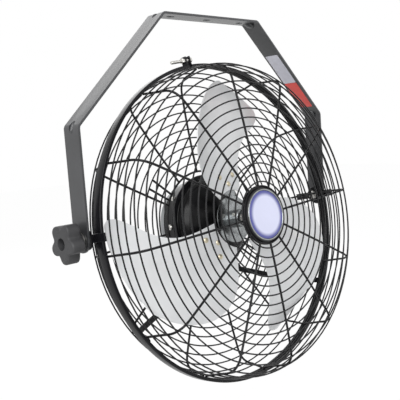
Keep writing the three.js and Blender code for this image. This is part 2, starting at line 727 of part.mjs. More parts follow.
// The blade's two edges, in degrees from its first arm, at a share of its length.
function bladeEdges(share) {
  const lead = cubic(leadAngle, share);
  const trail = cubic(trailAngle, share);
  const half = ((trail - lead) / 2) * tipShare(share);
  return [(lead + trail) / 2 - half, (lead + trail) / 2 + half];
}

// A point of the blade's middle surface. across runs from -1, leading, to 1, trailing.
function bladePoint(share, across, offset = 0) {
  const radius = bladeRoot + (bladeTip - bladeRoot) * share;
  const [lead, trail] = bladeEdges(share);
  const angle = (lead + trail) / 2 + (across * (trail - lead)) / 2;
  const front = cubic(trailDepth, share);
  const back = cubic(leadDepth, share);
  const slope = ((front - back) / 2) * tipShare(share) * across;
  const y = hubPlane + (front + back) / 2 + slope + bladeCamber * share * (1 - across * across) + offset;
  return polar(radius, bladeAngle + angle, y);
}

// A sheet over the blade's surface, given its thickness towards +Y.
function bladeSheet(rows, columns, place, thickness) {
  const flat = new THREE.PlaneGeometry(1, 1, columns, rows);
  const count = flat.attributes.position.count;
  const positions = [];
  for (const lift of [0, thickness]) {
    for (let i = 0; i < count; i += 1) {
      const share = flat.attributes.position.getY(i) + 0.5;
      const across = flat.attributes.position.getX(i) * 2;
      positions.push(...place(share, across, lift).toArray());
    }
  }
  const front = Array.from(flat.index.array);
  const faces = [...front];
  for (let i = 0; i < front.length; i += 3) {
    faces.push(front[i] + count, front[i + 2] + count, front[i + 1] + count);
  }
  const edge = [];
  for (let i = 0; i < columns; i += 1) edge.push(i);
  for (let i = 0; i < rows; i += 1) edge.push(columns + i * (columns + 1));
  for (let i = columns; i > 0; i -= 1) edge.push(rows * (columns + 1) + i);
  for (let i = rows; i > 0; i -= 1) edge.push(i * (columns + 1));
  edge.forEach((a, i) => {
    const b = edge[(i + 1) % edge.length];
    faces.push(a, b, b + count, a, b + count, a + count);
  });
  const sheet = new THREE.BufferGeometry();
  sheet.setAttribute('position', new THREE.Float32BufferAttribute(positions, 3));
  sheet.setIndex(faces.reverse());
  return sheet;
}

// Rivet places as shares of the blade's length and width.
function rivetPlaces() {
  return [[rivetCircle, -rivetSpread], [rivetInner, 0], [rivetCircle, rivetSpread]].map(([radius, angle]) => {
    const share = (radius - bladeRoot) / (bladeTip - bladeRoot);
    const [lead, trail] = bladeEdges(share);
    const across = (angle - (lead + trail) / 2) / ((trail - lead) / 2);
    const at = bladePoint(share, across);
    const alongChord = bladePoint(share, across + 0.05).sub(at);
    const alongSpan = bladePoint(share + 0.01, across).sub(at);
    const normal = alongChord.cross(alongSpan).normalize();
    if (normal.y > 0) normal.negate();
    return { at, normal };
  });
}

const sheetGap = bladeThickness + gap + 0.25;

function rivet({ at, normal }) {
  const head = gap + 0.15;
  const tail = -(sheetGap + spiderThickness + gap + 0.5);
  const body = turned([[0, head + rivetHeadHeight], [rivetHeadRadius * 0.6, head + rivetHeadHeight],
    [rivetHeadRadius, head], [rivetRadius, head], [rivetRadius, tail], [rivetHeadRadius * 0.85, tail],
    [0, tail - 1.2]], 6);
  const turn = new THREE.Quaternion().setFromUnitVectors(new THREE.Vector3(0, 1, 0), normal);
  return body.applyQuaternion(turn).translate(at.x, at.y, at.z);
}

const rivetHole = ({ at, normal }) => rod(at.clone().addScaledVector(normal, 12),
  at.clone().addScaledVector(normal, -14), rivetRadius + boltFit, 8);

// A pressed plate with three arms that carry the blades, on a turned hub.
function bladeSpider() {
  const armBase = (spiderRadius - 8 - bladeRoot) / (bladeTip - bladeRoot);
  const armEnd = (armTip - bladeRoot) / (bladeTip - bladeRoot);
  const place = (share, across, lift) => {
    const along = armBase + (armEnd - armBase) * share;
    const radius = bladeRoot + (bladeTip - bladeRoot) * along;
    const halfWidth = armHalfWidth - armTaper * (armTip - radius);
    const angle = THREE.MathUtils.radToDeg(Math.asin(halfWidth / radius)) * across;
    const safe = Math.max(along, 0);
    const [lead, trail] = bladeEdges(safe);
    const chord = (angle - (lead + trail) / 2) / ((trail - lead) / 2);
    const y = bladePoint(safe, chord).y;
    const flatten = THREE.MathUtils.smoothstep(radius, spiderRadius - 6, bladeRoot - 1);
    return polar(radius, bladeAngle + angle, hubPlane + sheetGap + (y - hubPlane) * flatten + lift);
  };
  const arm = bladeSheet(6, 3, place, spiderThickness);
  let body = toSolid(turned([[0, hubPlane - rotorHubFront], [rotorHubRadius - 1, hubPlane - rotorHubFront],
    [rotorHubRadius, hubPlane - rotorHubFront + 2], [rotorHubRadius, hubPlane + sheetGap],
    [spiderRadius, hubPlane + sheetGap], [spiderRadius, hubPlane + sheetGap + spiderThickness],
    [rotorHubRadius, hubPlane + sheetGap + spiderThickness], [rotorHubRadius, hubPlane + rotorHubBack],
    [0, hubPlane + rotorHubBack]], 18));
  for (let i = 0; i < bladeCount; i += 1) {
    const turn = -rad((i * 360) / bladeCount);
    body = body.add(toSolid(arm.clone().rotateY(turn)));
    body = cut(body, ...rivetPlaces().map((spot) => rivetHole(spot).rotateY(turn)));
  }
  const setHeight = hubPlane - rotorHubFront * 0.55;
  return cut(body, alongY(hubPlane - 40, hubPlane + 40, shaftRadius + gap, small),
    rod(polar(0, setScrewAngle, setHeight), polar(rotorHubRadius + 5, setScrewAngle, setHeight),
      setScrewRadius + boltFit, 6));
}

function rotor(fan) {
  const rearEnd = motorBack - bellWall - 0.6;
  piece(fan, 'motor_shaft', alongY(hubPlane - shaftNose, rearEnd, shaftRadius, small), steel);
  const stackFront = shellFront + (shellLength - stackLength) / 2;
  const core = turned([[shaftRadius + gap, stackFront], [coreRadius, stackFront],
    [coreRadius, stackFront + stackLength], [shaftRadius + gap, stackFront + stackLength]], 16);
  piece(fan, 'motor_rotor_core', core, copper);
  piece(fan, 'blade_spider', bladeSpider(), steel);
  const setHeight = hubPlane - rotorHubFront * 0.55;
  const setScrew = rod(polar(shaftRadius + gap, setScrewAngle, setHeight),
    polar(rotorHubRadius + 1.5, setScrewAngle, setHeight), setScrewRadius, 6);
  piece(fan, 'hub_set_screw', setScrew, steel);
  const blade = bladeSheet(8, 5, bladePoint, bladeThickness);
  const holed = cut(toSolid(blade), ...rivetPlaces().map(rivetHole));
  for (let i = 0; i < bladeCount; i += 1) {
    const turn = -rad((i * 360) / bladeCount);
    piece(fan, `fan_blade_${i + 1}`, toGeometry(holed).rotateY(turn), aluminium);
    rivetPlaces().forEach((spot, index) => {
      piece(fan, `blade_rivet_${i + 1}_${index + 1}`, rivet(spot).rotateY(turn), steel);
    });
  }
}

// ---------------------------------------------------------------- assembly
const product = new THREE.Group();
yokeBracket(product);

const head = new THREE.Group();
head.position.z = -yokeHeight;
head.rotation.x = -rad(headTilt);
product.add(head);
sidePivots(head);

const fan = new THREE.Group();
fan.position.set(0, -axisBehindBand, -axisAboveCentre);
head.add(fan);
guards(fan);
clampBand(fan);
badge(fan);
motor(fan);
motorMount(fan);
speedSwitch(fan);
rotor(fan);

export default product;
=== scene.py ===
from math import asin, atan2, cos, degrees, hypot, pi, radians, sin, sqrt

import bmesh
import bpy
from bpy.props import FloatProperty, FloatVectorProperty, IntProperty, PointerProperty
from mathutils import Matrix, Vector


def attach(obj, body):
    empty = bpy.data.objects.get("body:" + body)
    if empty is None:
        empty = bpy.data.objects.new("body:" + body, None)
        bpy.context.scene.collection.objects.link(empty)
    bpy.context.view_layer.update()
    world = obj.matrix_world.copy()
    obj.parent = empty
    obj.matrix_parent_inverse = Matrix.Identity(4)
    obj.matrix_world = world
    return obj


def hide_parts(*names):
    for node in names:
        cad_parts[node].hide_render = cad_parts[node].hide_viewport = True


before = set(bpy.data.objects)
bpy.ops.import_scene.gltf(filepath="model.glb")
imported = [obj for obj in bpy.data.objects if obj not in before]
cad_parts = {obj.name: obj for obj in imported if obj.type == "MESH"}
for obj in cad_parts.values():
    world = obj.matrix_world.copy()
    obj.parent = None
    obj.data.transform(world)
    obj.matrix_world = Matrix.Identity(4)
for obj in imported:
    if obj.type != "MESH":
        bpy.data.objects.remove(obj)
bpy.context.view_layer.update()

bl_info = {
    "name": "Wall Mounted Fan",
    "version": (1, 0, 0),
    "blender": (4, 5, 0),
    "location": "3D View > Sidebar > Fan",
    "description": "Builds a caged fan in a strip yoke, piece by piece",
    "category": "Object",
}


# ---------------------------------------------------------------- sizes and colours
def size(name, text, value):
    """A length in metres, given here in millimetres."""
    return FloatProperty(name=name, description=text, default=value / 1000, unit="LENGTH", precision=5)


def turn(name, text, value):
    return FloatProperty(name=name, description=text, default=radians(value), unit="ROTATION")


def terms(name, text, value):
    """The terms of a cubic in the share of a blade's length."""
    return FloatVectorProperty(name=name, description=text, default=value, size=4)


def paint(name, text, value):
    return FloatVectorProperty(name=name, description=text, default=value, subtype="COLOR", size=3,
                               min=0, max=1)


class YokeSizes(bpy.types.PropertyGroup):
    """The bent strip that holds the head."""
    width: size("Width", "Across the outer faces of the two arms", 528)
    top: size("Top", "Between the two upper bends", 204)
    height: size("Height", "From the tilt axis to the mounting face", 309)
    shoulder: size("Shoulder", "From the tilt axis to the lower bends", 152)
    strip: size("Strip", "Width of the strip", 35)
    thickness: size("Thickness", "Thickness of the strip", 3.5)
    bend: size("Bend", "Run of each bend along the strip", 3.4)
    slot_pitch: size("Slot pitch", "Between the mounting slots", 75)
    slot_length: size("Slot length", "Length of a mounting slot", 13)
    slot_width: size("Slot width", "Width of a mounting slot", 8.5)
    label_start: size("Label start", "From the upper bend to the first bare label", 74)
    label_length: size("Label length", "Length of the first bare label", 67)
    label_second: size("Second label", "Length of the second bare label", 62)
    label_width: size("Label width", "Across both labels", 26.5)


class HeadSizes(bpy.types.PropertyGroup):
    """How the caged head hangs in the yoke."""
    tilt: turn("Tilt", "How far the head looks up at rest", 8.5)
    behind: size("Behind", "Tilt axis behind the band's mid plane", 21.5)
    above: size("Above", "Tilt axis above the fan's axis", 12)


class PivotSizes(bpy.types.PropertyGroup):
    """The side brackets and the hardware on the tilt axis."""
    clear: size("Clearance", "Between neighbouring parts", 0.3)
    bar: size("Bar", "Thickness of the bracket bars", 3)
    bar_width: size("Bar width", "Width of the bracket bars", 11.8)
    bar_reach: size("Bar reach", "From the tilt axis to either end of a bar", 41.8)
    bar_step: size("Bar step", "How far a bar steps out to its ear", 2.5)
    fold: size("Fold", "Run of each bend in a bar", 1.3)
    ear: size("Ear", "Radius of a bracket's round ear", 14.9)
    gap: size("Gap", "Between an ear and the yoke's arm", 3.6)
    hole: size("Hole", "Radius of the bolt holes", 5.1)
    bolt: size("Bolt", "Radius of the bolts' thread", 4.75)
    flats: size("Flats", "Across the flats of bolt heads and nut", 14.3)
    spacer: size("Spacer", "Radius of the rubber spacers", 15)
    washer: size("Washer", "Radius of the washers", 11)
    stack: size("Stack", "From the yoke's arm to the nut or the knob", 2.6)


class KnobSizes(bpy.types.PropertyGroup):
    """The clamp knob."""
    lobes: IntProperty(name="Lobes", description="Lobes of the knob", default=5, min=3)
    radius: size("Radius", "Mean radius of the star", 24.3)
    lobe: size("Lobe", "How far the lobes stand out", 4.2)
    crest: size("Crest", "How much the lobes' crests are flattened", 0.6)
    foot: size("Foot", "From the knob's foot to the star", 7)
    star: size("Star", "Height of the star", 20.8)
    edge: size("Edge", "Rounding of the star's edges", 3.6)
    recess: size("Recess", "Depth of the recess in the star's face", 8.5)


class CageSizes(bpy.types.PropertyGroup):
    """The two wire guards and the band that clamps them."""
    band: size("Band", "Outside radius of the band", 250.4)
    band_width: size("Band width", "Width of the band", 15)
    band_wall: size("Band wall", "Thickness of the band", 1.6)
    rim: size("Rim wire", "Radius of the rim wires", 2.2)
    radial: size("Radial wire", "Radius of the radial wires", 1.75)
    ring: size("Ring wire", "Radius of the ring wires", 1.15)
    pitch: size("Pitch", "Between the rings", 14.1)
    clock: turn("Clock", "Angle of the first radial wire", 3.5)
    count: IntProperty(name="Radials", description="Radial wires in each guard", default=12, min=3)
    front_depth: size("Front depth", "Depth of the front guard", 73)
    front_inner: size("Front inner", "Radius of the front guard's inner ring", 44)
    rear_depth: size("Rear depth", "Depth of the rear guard", 52)
    rear_inner: size("Rear inner", "Radius of the rear guard's inner ring", 86)
    split: size("Split", "Gap in the band", 6)
    split_at: turn("Split place", "Place of the gap round the band", 98)


class BadgeSizes(bpy.types.PropertyGroup):
    """The bare badge on the front guard."""
    stand: size("Stand", "From the guard's crown to the badge's face", 5)
    disc: size("Disc", "Radius of the bare disc", 36.3)
    rim: size("Rim", "Outside radius of the bright rim", 39.1)
    cup: size("Cup", "Outside radius of the cup", 40.8)
    plate: size("Plate", "Radius of the clamp plate behind", 45.2)


class BladeSizes(bpy.types.PropertyGroup):
    """The three blades and the spider that carries them."""
    tip: size("Tip", "Radius at the blade tips", 221)
    root: size("Root", "Radius at the blade roots", 46)
    sheet: size("Sheet", "Thickness of the blades", 1.6)
    hub: size("Hub plane", "Hub plane behind the band's mid plane", -12)
    camber: size("Camber", "How far the blade bows", 7)
    lead_angle: terms("Leading angle", "Leading edge from the arm, in degrees",
                      (-32.5, 48.7, -111.7, 46.8))
    trail_angle: terms("Trailing angle", "Trailing edge from the arm, in degrees",
                       (39.7, 24.3, -103.9, 42.5))
    lead_depth: terms("Leading depth", "Leading edge behind the hub plane, in millimetres",
                      (1, 41, -38, 45.5))
    trail_depth: terms("Trailing depth", "Trailing edge behind the hub plane, in millimetres",
                       (-5.5, -4, -109, 106.5))
    tip_start: FloatProperty(name="Tip start", description="Share of the length where the tip rounds",
                             default=0.63)
    tip_width: FloatProperty(name="Tip width", description="Share of the width left at the tip",
                             default=0.59)
    first: turn("First", "Middle of the first blade's arm", 93)
    rivet_outer: size("Outer rivets", "Radius of the two outer rivets", 71)
    rivet_inner: size("Inner rivet", "Radius of the inner rivet", 56)
    rivet_angle: turn("Rivet angle", "From the arm to an outer rivet", 14)
    count: IntProperty(name="Blades", description="Number of blades", default=3, min=2)
    shaft: size("Shaft", "Radius of the shaft", 6.35)
    spot: size("Label", "Radius of the bare round label on one blade", 11.5)
    spot_radius: size("Label place", "Middle of the round label from the axis", 141)
    spot_angle: turn("Label angle", "Middle of the round label from the arm", 8)


class MotorSizes(bpy.types.PropertyGroup):
    """The motor behind the blades."""
    radius: size("Radius", "Radius of the motor case", 72)
    front: size("Front", "Front bell behind the band's mid plane", 14)
    seam: size("Seam", "Front seam behind the band's mid plane", 44)
    rear_seam: size("Rear seam", "Rear seam behind the band's mid plane", 80)
    back: size("Back", "Rear end behind the band's mid plane", 102)
    collar: size("Collar", "Outside radius of the mounting collar", 79)
    strap_fall: turn("Strap fall", "How far both straps fall towards the band", 19.5)
    strap_low: size("Strap offset", "How far below the axis both straps pass", 66)


class Colours(bpy.types.PropertyGroup):
    """Base colours of the finishes."""
    enamel: paint("Black enamel", "Band, brackets and collar", (0.007, 0.007, 0.0085))
    motor: paint("Motor enamel", "The motor's case and front bell", (0.0045, 0.0045, 0.005))
    wire: paint("Wire coat", "Guard wires", (0.008, 0.008, 0.009))
    yoke: paint("Yoke enamel", "The strip yoke", (0.034, 0.035, 0.038))
    aluminium: paint("Aluminium", "The blades", (0.80, 0.81, 0.82))
    chrome: paint("Bright plate", "Spider and badge rim", (0.33, 0.345, 0.35))
    zinc: paint("Zinc plate", "Screws, bolts and nuts", (0.62, 0.61, 0.58))
    rivet: paint("Rivets", "Blade rivets", (0.78, 0.70, 0.52))
    plastic: paint("Black plastic", "Badge cup and switch box", (0.012, 0.012, 0.013))
    knob: paint("Knob plastic", "The clamp knob", (0.034, 0.034, 0.036))
    rubber: paint("Rubber", "Friction spacers", (0.012, 0.012, 0.012))
    silver: paint("Silver enamel", "Rear bell of the motor", (0.32, 0.33, 0.34))
    badge: paint("Badge face", "Middle of the bare badge", (0.62, 0.64, 0.82))
    badge_edge: paint("Badge border", "Border of the bare badge", (0.028, 0.036, 0.27))
    label: paint("Pale label", "First bare label", (0.66, 0.66, 0.74))
    label_red: paint("Red label", "Second bare label", (0.82, 0.055, 0.04))


class StageSizes(bpy.types.PropertyGroup):
    """Camera, lamps and floor."""
    lens: FloatProperty(name="Lens", description="Focal length of the camera in millimetres",
                        default=57.62)
    camera: FloatVectorProperty(name="Camera", description="Where the camera stands", size=3,
                                default=(-0.72439, -0.72726, -0.17555), subtype="TRANSLATION",
                                unit="LENGTH")
    heading: turn("Heading", "Turn of the view from +Y towards +X", 43.212)
    dip: turn("Dip", "How far the camera looks down", 6.096)
    roll: turn("Roll", "Turn of the camera about its view", -4.068)
    floor: size("Floor", "Floor below the mounting face", 700)
    middle: size("Middle", "Point below the mounting face that the lamps look at", 310)
    key: FloatProperty(name="Key lamp", description="Power of the lamp at the left", default=40)
    fill: FloatProperty(name="Fill lamp", description="Power of the lamp at the right", default=4)
    back: FloatProperty(name="Back lamp", description="Power of the lamp behind", default=10)
    ambient: FloatProperty(name="Ambient", description="Strength of the light all round", default=0.44)


GROUPS = (("fan_yoke", YokeSizes), ("fan_head", HeadSizes), ("fan_pivot", PivotSizes),
          ("fan_knob", KnobSizes), ("fan_cage", CageSizes), ("fan_badge", BadgeSizes),
          ("fan_blade", BladeSizes), ("fan_motor", MotorSizes), ("fan_colour", Colours),
          ("fan_stage", StageSizes))


def head_place(scene):
    """The head's frame, on the tilt axis."""
    return (Matrix.Translation((0, 0, -scene.fan_yoke.height))
            @ Matrix.Rotation(-scene.fan_head.tilt, 4, "X"))


def fan_place(scene):
    """The fan's frame, on its own axis in the band's mid plane."""
    head = scene.fan_head
    return head_place(scene) @ Matrix.Translation((0, -head.behind, -head.above))


# ---------------------------------------------------------------- finishes
class Value:
    """A shader socket with arithmetic, each step of which adds one Math node."""

    def __init__(self, finish, socket):
        self.finish = finish
        self.socket = socket

    def _math(self, operation, *terms, clamp=False):
        return self.finish.node("ShaderNodeMath", {"operation": operation, "use_clamp": clamp},
                                {i: term for i, term in enumerate(terms)})

    def __add__(self, other):
        return self._math("ADD", self, other)

    def __radd__(self, other):
        return self._math("ADD", other, self)

    def __sub__(self, other):
        return self._math("SUBTRACT", self, other)

    def __rsub__(self, other):
        return self._math("SUBTRACT", other, self)

    def __mul__(self, other):
        return self._math("MULTIPLY", self, other)

    def __rmul__(self, other):
        return self._math("MULTIPLY", other, self)

    def __truediv__(self, other):
        return self._math("DIVIDE", self, other)

    def __rtruediv__(self, other):
        return self._math("DIVIDE", other, self)

    def sine(self):
        return self._math("SINE", self)

    def root(self):
        return self._math("SQRT", self)

    def band(self, low, high):
        """0 below low, 1 above high and smooth between."""
        return self.finish.node("ShaderNodeMapRange", {"interpolation_type": "SMOOTHSTEP"},
                                {"Value": self, "From Min": low, "From Max": high})


class Nodes:
    """Adds nodes to a tree and feeds their sockets."""

    def __init__(self, tree):
        self.tree = tree
        self._place = None

    def feed(self, socket, value):
        if isinstance(value, Value):
            self.tree.links.new(value.socket, socket)
        elif socket.type == "RGBA" and len(value) == 3:
            socket.default_value = (*value, 1)
        else:
            socket.default_value = value

    def node(self, kind, settings=None, inputs=None, output=0):
        """Adds a node: settings first, then its sockets by name, identifier or number."""
        node = self.tree.nodes.new(kind)
        for key, value in (settings or {}).items():
            setattr(node, key, value)
        by_identifier = {socket.identifier: socket for socket in node.inputs}
        for key, value in (inputs or {}).items():
            socket = by_identifier.get(key) if key in by_identifier else node.inputs[key]
            self.feed(socket, value)
        outputs = {socket.identifier: socket for socket in node.outputs}
        return Value(self, outputs[output] if output in outputs else node.outputs[output])

    def place(self):
        """The object's own coordinates."""
        if self._place is None:
            self._place = self.node("ShaderNodeTexCoord", output="Object")
        return self._place

    def local(self, matrix):
        """Coordinates in a frame that stands off the origin."""
        return self.node("ShaderNodeMapping", {"vector_type": "TEXTURE"},
                         {"Vector": self.place(), "Location": matrix.to_translation(),
                          "Rotation": matrix.to_euler()})

    def stretch(self, vector, scale):
        return self.node("ShaderNodeMapping", {}, {"Vector": vector, "Scale": scale})

    def parts(self, vector):
        node = self.node("ShaderNodeSeparateXYZ", {}, {"Vector": vector})
        return [Value(self, socket) for socket in node.socket.node.outputs]

    def noise(self, scale, detail=3.0, rough=0.5, vector=None):
        return self.node("ShaderNodeTexNoise", {},
                         {"Vector": vector or self.place(), "Scale": scale, "Detail": detail,
                          "Roughness": rough}, "Fac")

    def mix(self, factor, first, second):
        return self.node("ShaderNodeMix", {"data_type": "RGBA"},
                         {"Factor_Float": factor, "A_Color": first, "B_Color": second}, "Result_Color")

    def seen(self):
        """1 where the camera or a bright or clear surface looks at the backdrop."""
        path = self.node("ShaderNodeLightPath").socket.node
        camera, glossy, clear = (Value(self, path.outputs[name]) for name in
                                 ("Is Camera Ray", "Is Glossy Ray", "Is Transmission Ray"))
        return self._any(self._any(camera, glossy), clear)

    def _any(self, first, second):
        return self.node("ShaderNodeMath", {"operation": "MAXIMUM"}, {0: first, 1: second})


class Finish(Nodes):
    """A material with one Principled shader and the nodes that feed it."""

    def __init__(self, name, **constants):
        self.material = bpy.data.materials.new(name)
        self.material.use_nodes = True
        super().__init__(self.material.node_tree)
        self.shader = self.tree.nodes["Principled BSDF"]
        for socket, value in constants.items():
            self.set(socket.replace("_", " ").title().replace("Ior", "IOR"), value)

    def set(self, socket, value):
        self.feed(self.shader.inputs[socket], value)

    def bump(self, height, strength, distance):
        self.set("Normal", self.node("ShaderNodeBump", {},
                                     {"Height": height, "Strength": strength, "Distance": distance}))


def shade(colour, factor):
    return tuple(min(1.0, channel * factor) for channel in colour)


def enamel(name, colour, roughness, peel=0.12, coat=0.5, gloss=0.5, wear=0.0):
    """Sprayed or dipped paint: orange peel, slight unevenness and rubbed spots."""
    colour = tuple(colour)
    finish = Finish(name, coat_weight=coat, coat_roughness=0.08, specular_ior_level=gloss)
    uneven = finish.noise(22, 4)
    rubbed = finish.noise(95, 6, 0.65).band(0.60, 0.74) * wear
    tone = finish.mix(uneven.band(0.3, 0.7), shade(colour, 0.82), shade(colour, 1.2))
    finish.set("Base Color", finish.mix(rubbed, tone, shade(colour, 2.6)))
    finish.set("Roughness", roughness + uneven * 0.06 + rubbed * 0.12)
    finish.bump(finish.noise(620, 2), peel, 0.0003)
    return finish.material


def plated(name, colour, roughness, grain=0.05, stain=0.3):
    """Bright plated steel with faint clouding."""
    colour = tuple(colour)
    finish = Finish(name, metallic=1.0)
    cloud = finish.noise(70, 5, 0.6)
    finish.set("Base Color", finish.mix(cloud.band(0.35, 0.7), colour, shade(colour, 1 - stain)))
    finish.set("Roughness", roughness + cloud * 0.1)
    finish.bump(finish.noise(60, 2), grain, 0.0006)
    return finish.material


def moulded(name, colour, roughness, grain=0.25):
    """Moulded plastic with a fine spark grain."""
    colour = tuple(colour)
    finish = Finish(name)
    cloud = finish.noise(45, 3)
    finish.set("Base Color", finish.mix(cloud.band(0.3, 0.7), shade(colour, 0.85), shade(colour, 1.25)))
    spark = finish.node("ShaderNodeTexVoronoi", {"feature": "F1"},
                        {"Vector": finish.place(), "Scale": 1700.0}, "Distance")
    finish.set("Roughness", roughness + cloud * 0.08 + spark * 0.05)
    finish.bump(spark, grain, 0.00025)
    return finish.material


def rolled_sheet(name, colour, place):
    """Rolled aluminium: fine straight grain, soft clouds and a few handling marks."""
    colour = tuple(colour)
    finish = Finish(name)
    local = finish.local(place)
    grain = finish.noise(60, 4, 0.6, finish.stretch(local, (1.0, 1.0, 28.0)))
    cloud = finish.noise(14, 3)
    marks = finish.noise(240, 6, 0.7, finish.stretch(local, (0.3, 1.0, 1.0))).band(0.62, 0.8)
    tone = finish.mix(cloud.band(0.3, 0.75), colour, shade(colour, 0.93))
    finish.set("Base Color", finish.mix(marks * 0.12, tone, shade(colour, 0.7)))
    finish.set("Metallic", 0.34)
    finish.set("Roughness", 0.34 + cloud * 0.08 + marks * 0.08)
    finish.bump(grain, 0.05, 0.0004)
    return finish.material


def cast_enamel(name, colour):
    """Enamel over a cast bell: visible sand grain under the paint."""
    colour = tuple(colour)
    finish = Finish(name, metallic=0.55)
    sand = finish.noise(520, 4, 0.65)
    cloud = finish.noise(30, 3)
    finish.set("Base Color", finish.mix(cloud.band(0.3, 0.7), colour, shade(colour, 0.8)))
    finish.set("Roughness", 0.38 + sand * 0.12)
    finish.bump(sand, 0.25, 0.0006)
    return finish.material


def laminations(name, colour, place):
    """Thin steel sheets stacked along the motor's axis."""
    colour = tuple(colour)
    finish = Finish(name, metallic=0.9)
    depth = finish.parts(finish.local(place))[1]
    sheets = (depth * (2 * pi / 0.0009)).sine() * 0.5 + 0.5
    finish.set("Base Color", finish.mix(sheets, shade(colour, 0.55), colour))
    finish.set("Roughness", 0.4 + sheets * 0.15)
    finish.bump(sheets, 0.4, 0.0003)
    return finish.material


def badge_face(name, colours, place, radius):
    """A bare printed disc: a pale middle that deepens to a blue border."""
    finish = Finish(name, coat_weight=0.6, coat_roughness=0.05)
    x, _, z = finish.parts(finish.local(place))
    out = (x * x + z * z).root() / radius
    middle = finish.mix(finish.noise(20, 3).band(0.2, 0.9), tuple(colours.badge), shade(colours.badge, 1.12))
    border = out.band(0.74, 0.95)
    finish.set("Base Color", finish.mix(border, middle, tuple(colours.badge_edge)))
    finish.set("Roughness", 0.26 + finish.noise(90, 3) * 0.08)
    finish.bump(finish.noise(900, 2), 0.04, 0.0002)
    return finish.material


def label_face(name, colour):
    """A bare film label: slightly mottled print under a satin film."""
    colour = tuple(colour)
    finish = Finish(name, coat_weight=0.3, coat_roughness=0.2)
    mottle = finish.noise(120, 5, 0.6)
    finish.set("Base Color", finish.mix(mottle.band(0.3, 0.7), shade(colour, 0.93), shade(colour, 1.05)))
    finish.set("Roughness", 0.4 + mottle * 0.1)
    finish.bump(finish.noise(700, 3), 0.08, 0.0002)
    return finish.material


FINISHES = {}


def finish(name):
    """The named material, made the first time it is asked for."""
    if name in FINISHES:
        return FINISHES[name]
    scene = bpy.context.scene
    colours = scene.fan_colour
    fan = fan_place(scene)
    makers = {
        "yoke_paint": lambda: enamel(name, colours.yoke, 0.36, 0.008, 0.22, 0.5, 0.06),
        "black_steel": lambda: enamel(name, colours.enamel, 0.22, 0.03, 0.0, 0.18, 0.15),
        "black_wire": lambda: enamel(name, colours.wire, 0.28, 0.12, 0.0, 0.22, 0.15),
        "motor_black": lambda: enamel(name, colours.motor, 0.18, 0.05, 0.0, 0.2, 0.2),
        "motor_silver": lambda: cast_enamel(name, colours.silver),
        "core_steel": lambda: laminations(name, (0.30, 0.29, 0.28), fan),
        "blade_aluminium": lambda: rolled_sheet(name, colours.aluminium, fan),
        "bright_metal": lambda: plated(name, colours.chrome, 0.14, 0.02, 0.3),
        "zinc_steel": lambda: plated(name, colours.zinc, 0.24),
        "rivet_aluminium": lambda: plated(name, colours.rivet, 0.26),
        "black_plastic": lambda: moulded(name, colours.plastic, 0.42),
        "knob_plastic": lambda: moulded(name, colours.knob, 0.5),
        "black_rubber": lambda: moulded(name, colours.rubber, 0.75, 0.4),
        "badge_face": lambda: badge_face(name, colours, fan, scene.fan_badge.disc),
        "label_pale": lambda: label_face(name, colours.label),
        "label_red": lambda: label_face(name, colours.label_red),
        "label_white": lambda: label_face(name, (0.85, 0.85, 0.84)),
    }
    FINISHES[name] = makers[name]()
    return FINISHES[name]


# ---------------------------------------------------------------- mesh tools
def tidy(mesh, sharp=radians(22)):
    """Merges doubles, turns faces out and shades the gentle edges smooth."""
    bmesh.ops.remove_doubles(mesh, verts=mesh.verts, dist=1e-6)
    bmesh.ops.dissolve_degenerate(mesh, dist=1e-7, edges=mesh.edges)
    bmesh.ops.recalc_face_normals(mesh, faces=mesh.faces)
    for face in mesh.faces:
        face.smooth = True
    for edge in mesh.edges:
        edge.smooth = len(edge.link_faces) == 2 and edge.calc_face_angle(0) < sharp


def piece(mesh, name, body, material, nodes=(), place=None, sharp=radians(22)):
    """Makes an object of a mesh, in place, on its body, standing for its CAD nodes."""
    if place is not None:
        bmesh.ops.transform(mesh, matrix=place, verts=mesh.verts)
    tidy(mesh, sharp)
    data = bpy.data.meshes.new(name)
    mesh.to_mesh(data)
    mesh.free()
    item = bpy.data.objects.new(name, data)
    bpy.context.scene.collection.objects.link(item)
    data.materials.append(finish(material))
    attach(item, body)
    if nodes:
        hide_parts(*nodes)
    return item


def add_turned(mesh, profile, steps, matrix=None, closed=False):
    """Adds a profile of (radius, depth) pairs turned about the Y axis."""
    verts = [mesh.verts.new((radius, depth, 0)) for radius, depth in profile]
    edges = [mesh.edges.new(pair) for pair in zip(verts, verts[1:])]
    if closed:
        edges.append(mesh.edges.new((verts[-1], verts[0])))
    before = set(mesh.verts) - set(verts)
    bmesh.ops.spin(mesh, geom=verts + edges, cent=(0, 0, 0), axis=(0, 1, 0), dvec=(0, 0, 0),
                   angle=2 * pi, steps=steps, use_merge=True, use_normal_flip=False,
                   use_duplicate=False)
    new = [v for v in mesh.verts if v not in before]
    bmesh.ops.remove_doubles(mesh, verts=new, dist=1e-6)
    new = [v for v in mesh.verts if v not in before]
    if matrix is not None:
        bmesh.ops.transform(mesh, matrix=matrix, verts=new)
    return new


def arc(centre, radius, start, end, steps):
    """Points of an arc in the profile plane."""
    return [(centre[0] + radius * cos(start + (end - start) * i / steps),
             centre[1] + radius * sin(start + (end - start) * i / steps)) for i in range(steps + 1)]


def along(start, end):
    """A frame whose Y axis runs from start to end, with its origin at start."""
    direction = (Vector(end) - Vector(start)).normalized()
    return Matrix.Translation(start) @ direction.to_track_quat("Y", "Z").to_matrix().to_4x4()


def add_prism(mesh, sides, radius, low, high, matrix=None):
    """Adds a many sided bar along Y from low to high."""
    before = set(mesh.verts)
    bmesh.ops.create_cone(mesh, cap_ends=True, cap_tris=False, segments=sides, radius1=radius,
                          radius2=radius, depth=high - low)
    new = [v for v in mesh.verts if v not in before]
    turn_up = Matrix.Translation((0, (low + high) / 2, 0)) @ Matrix.Rotation(-pi / 2, 4, "X")
    bmesh.ops.transform(mesh, matrix=(matrix or Matrix()) @ turn_up, verts=new)


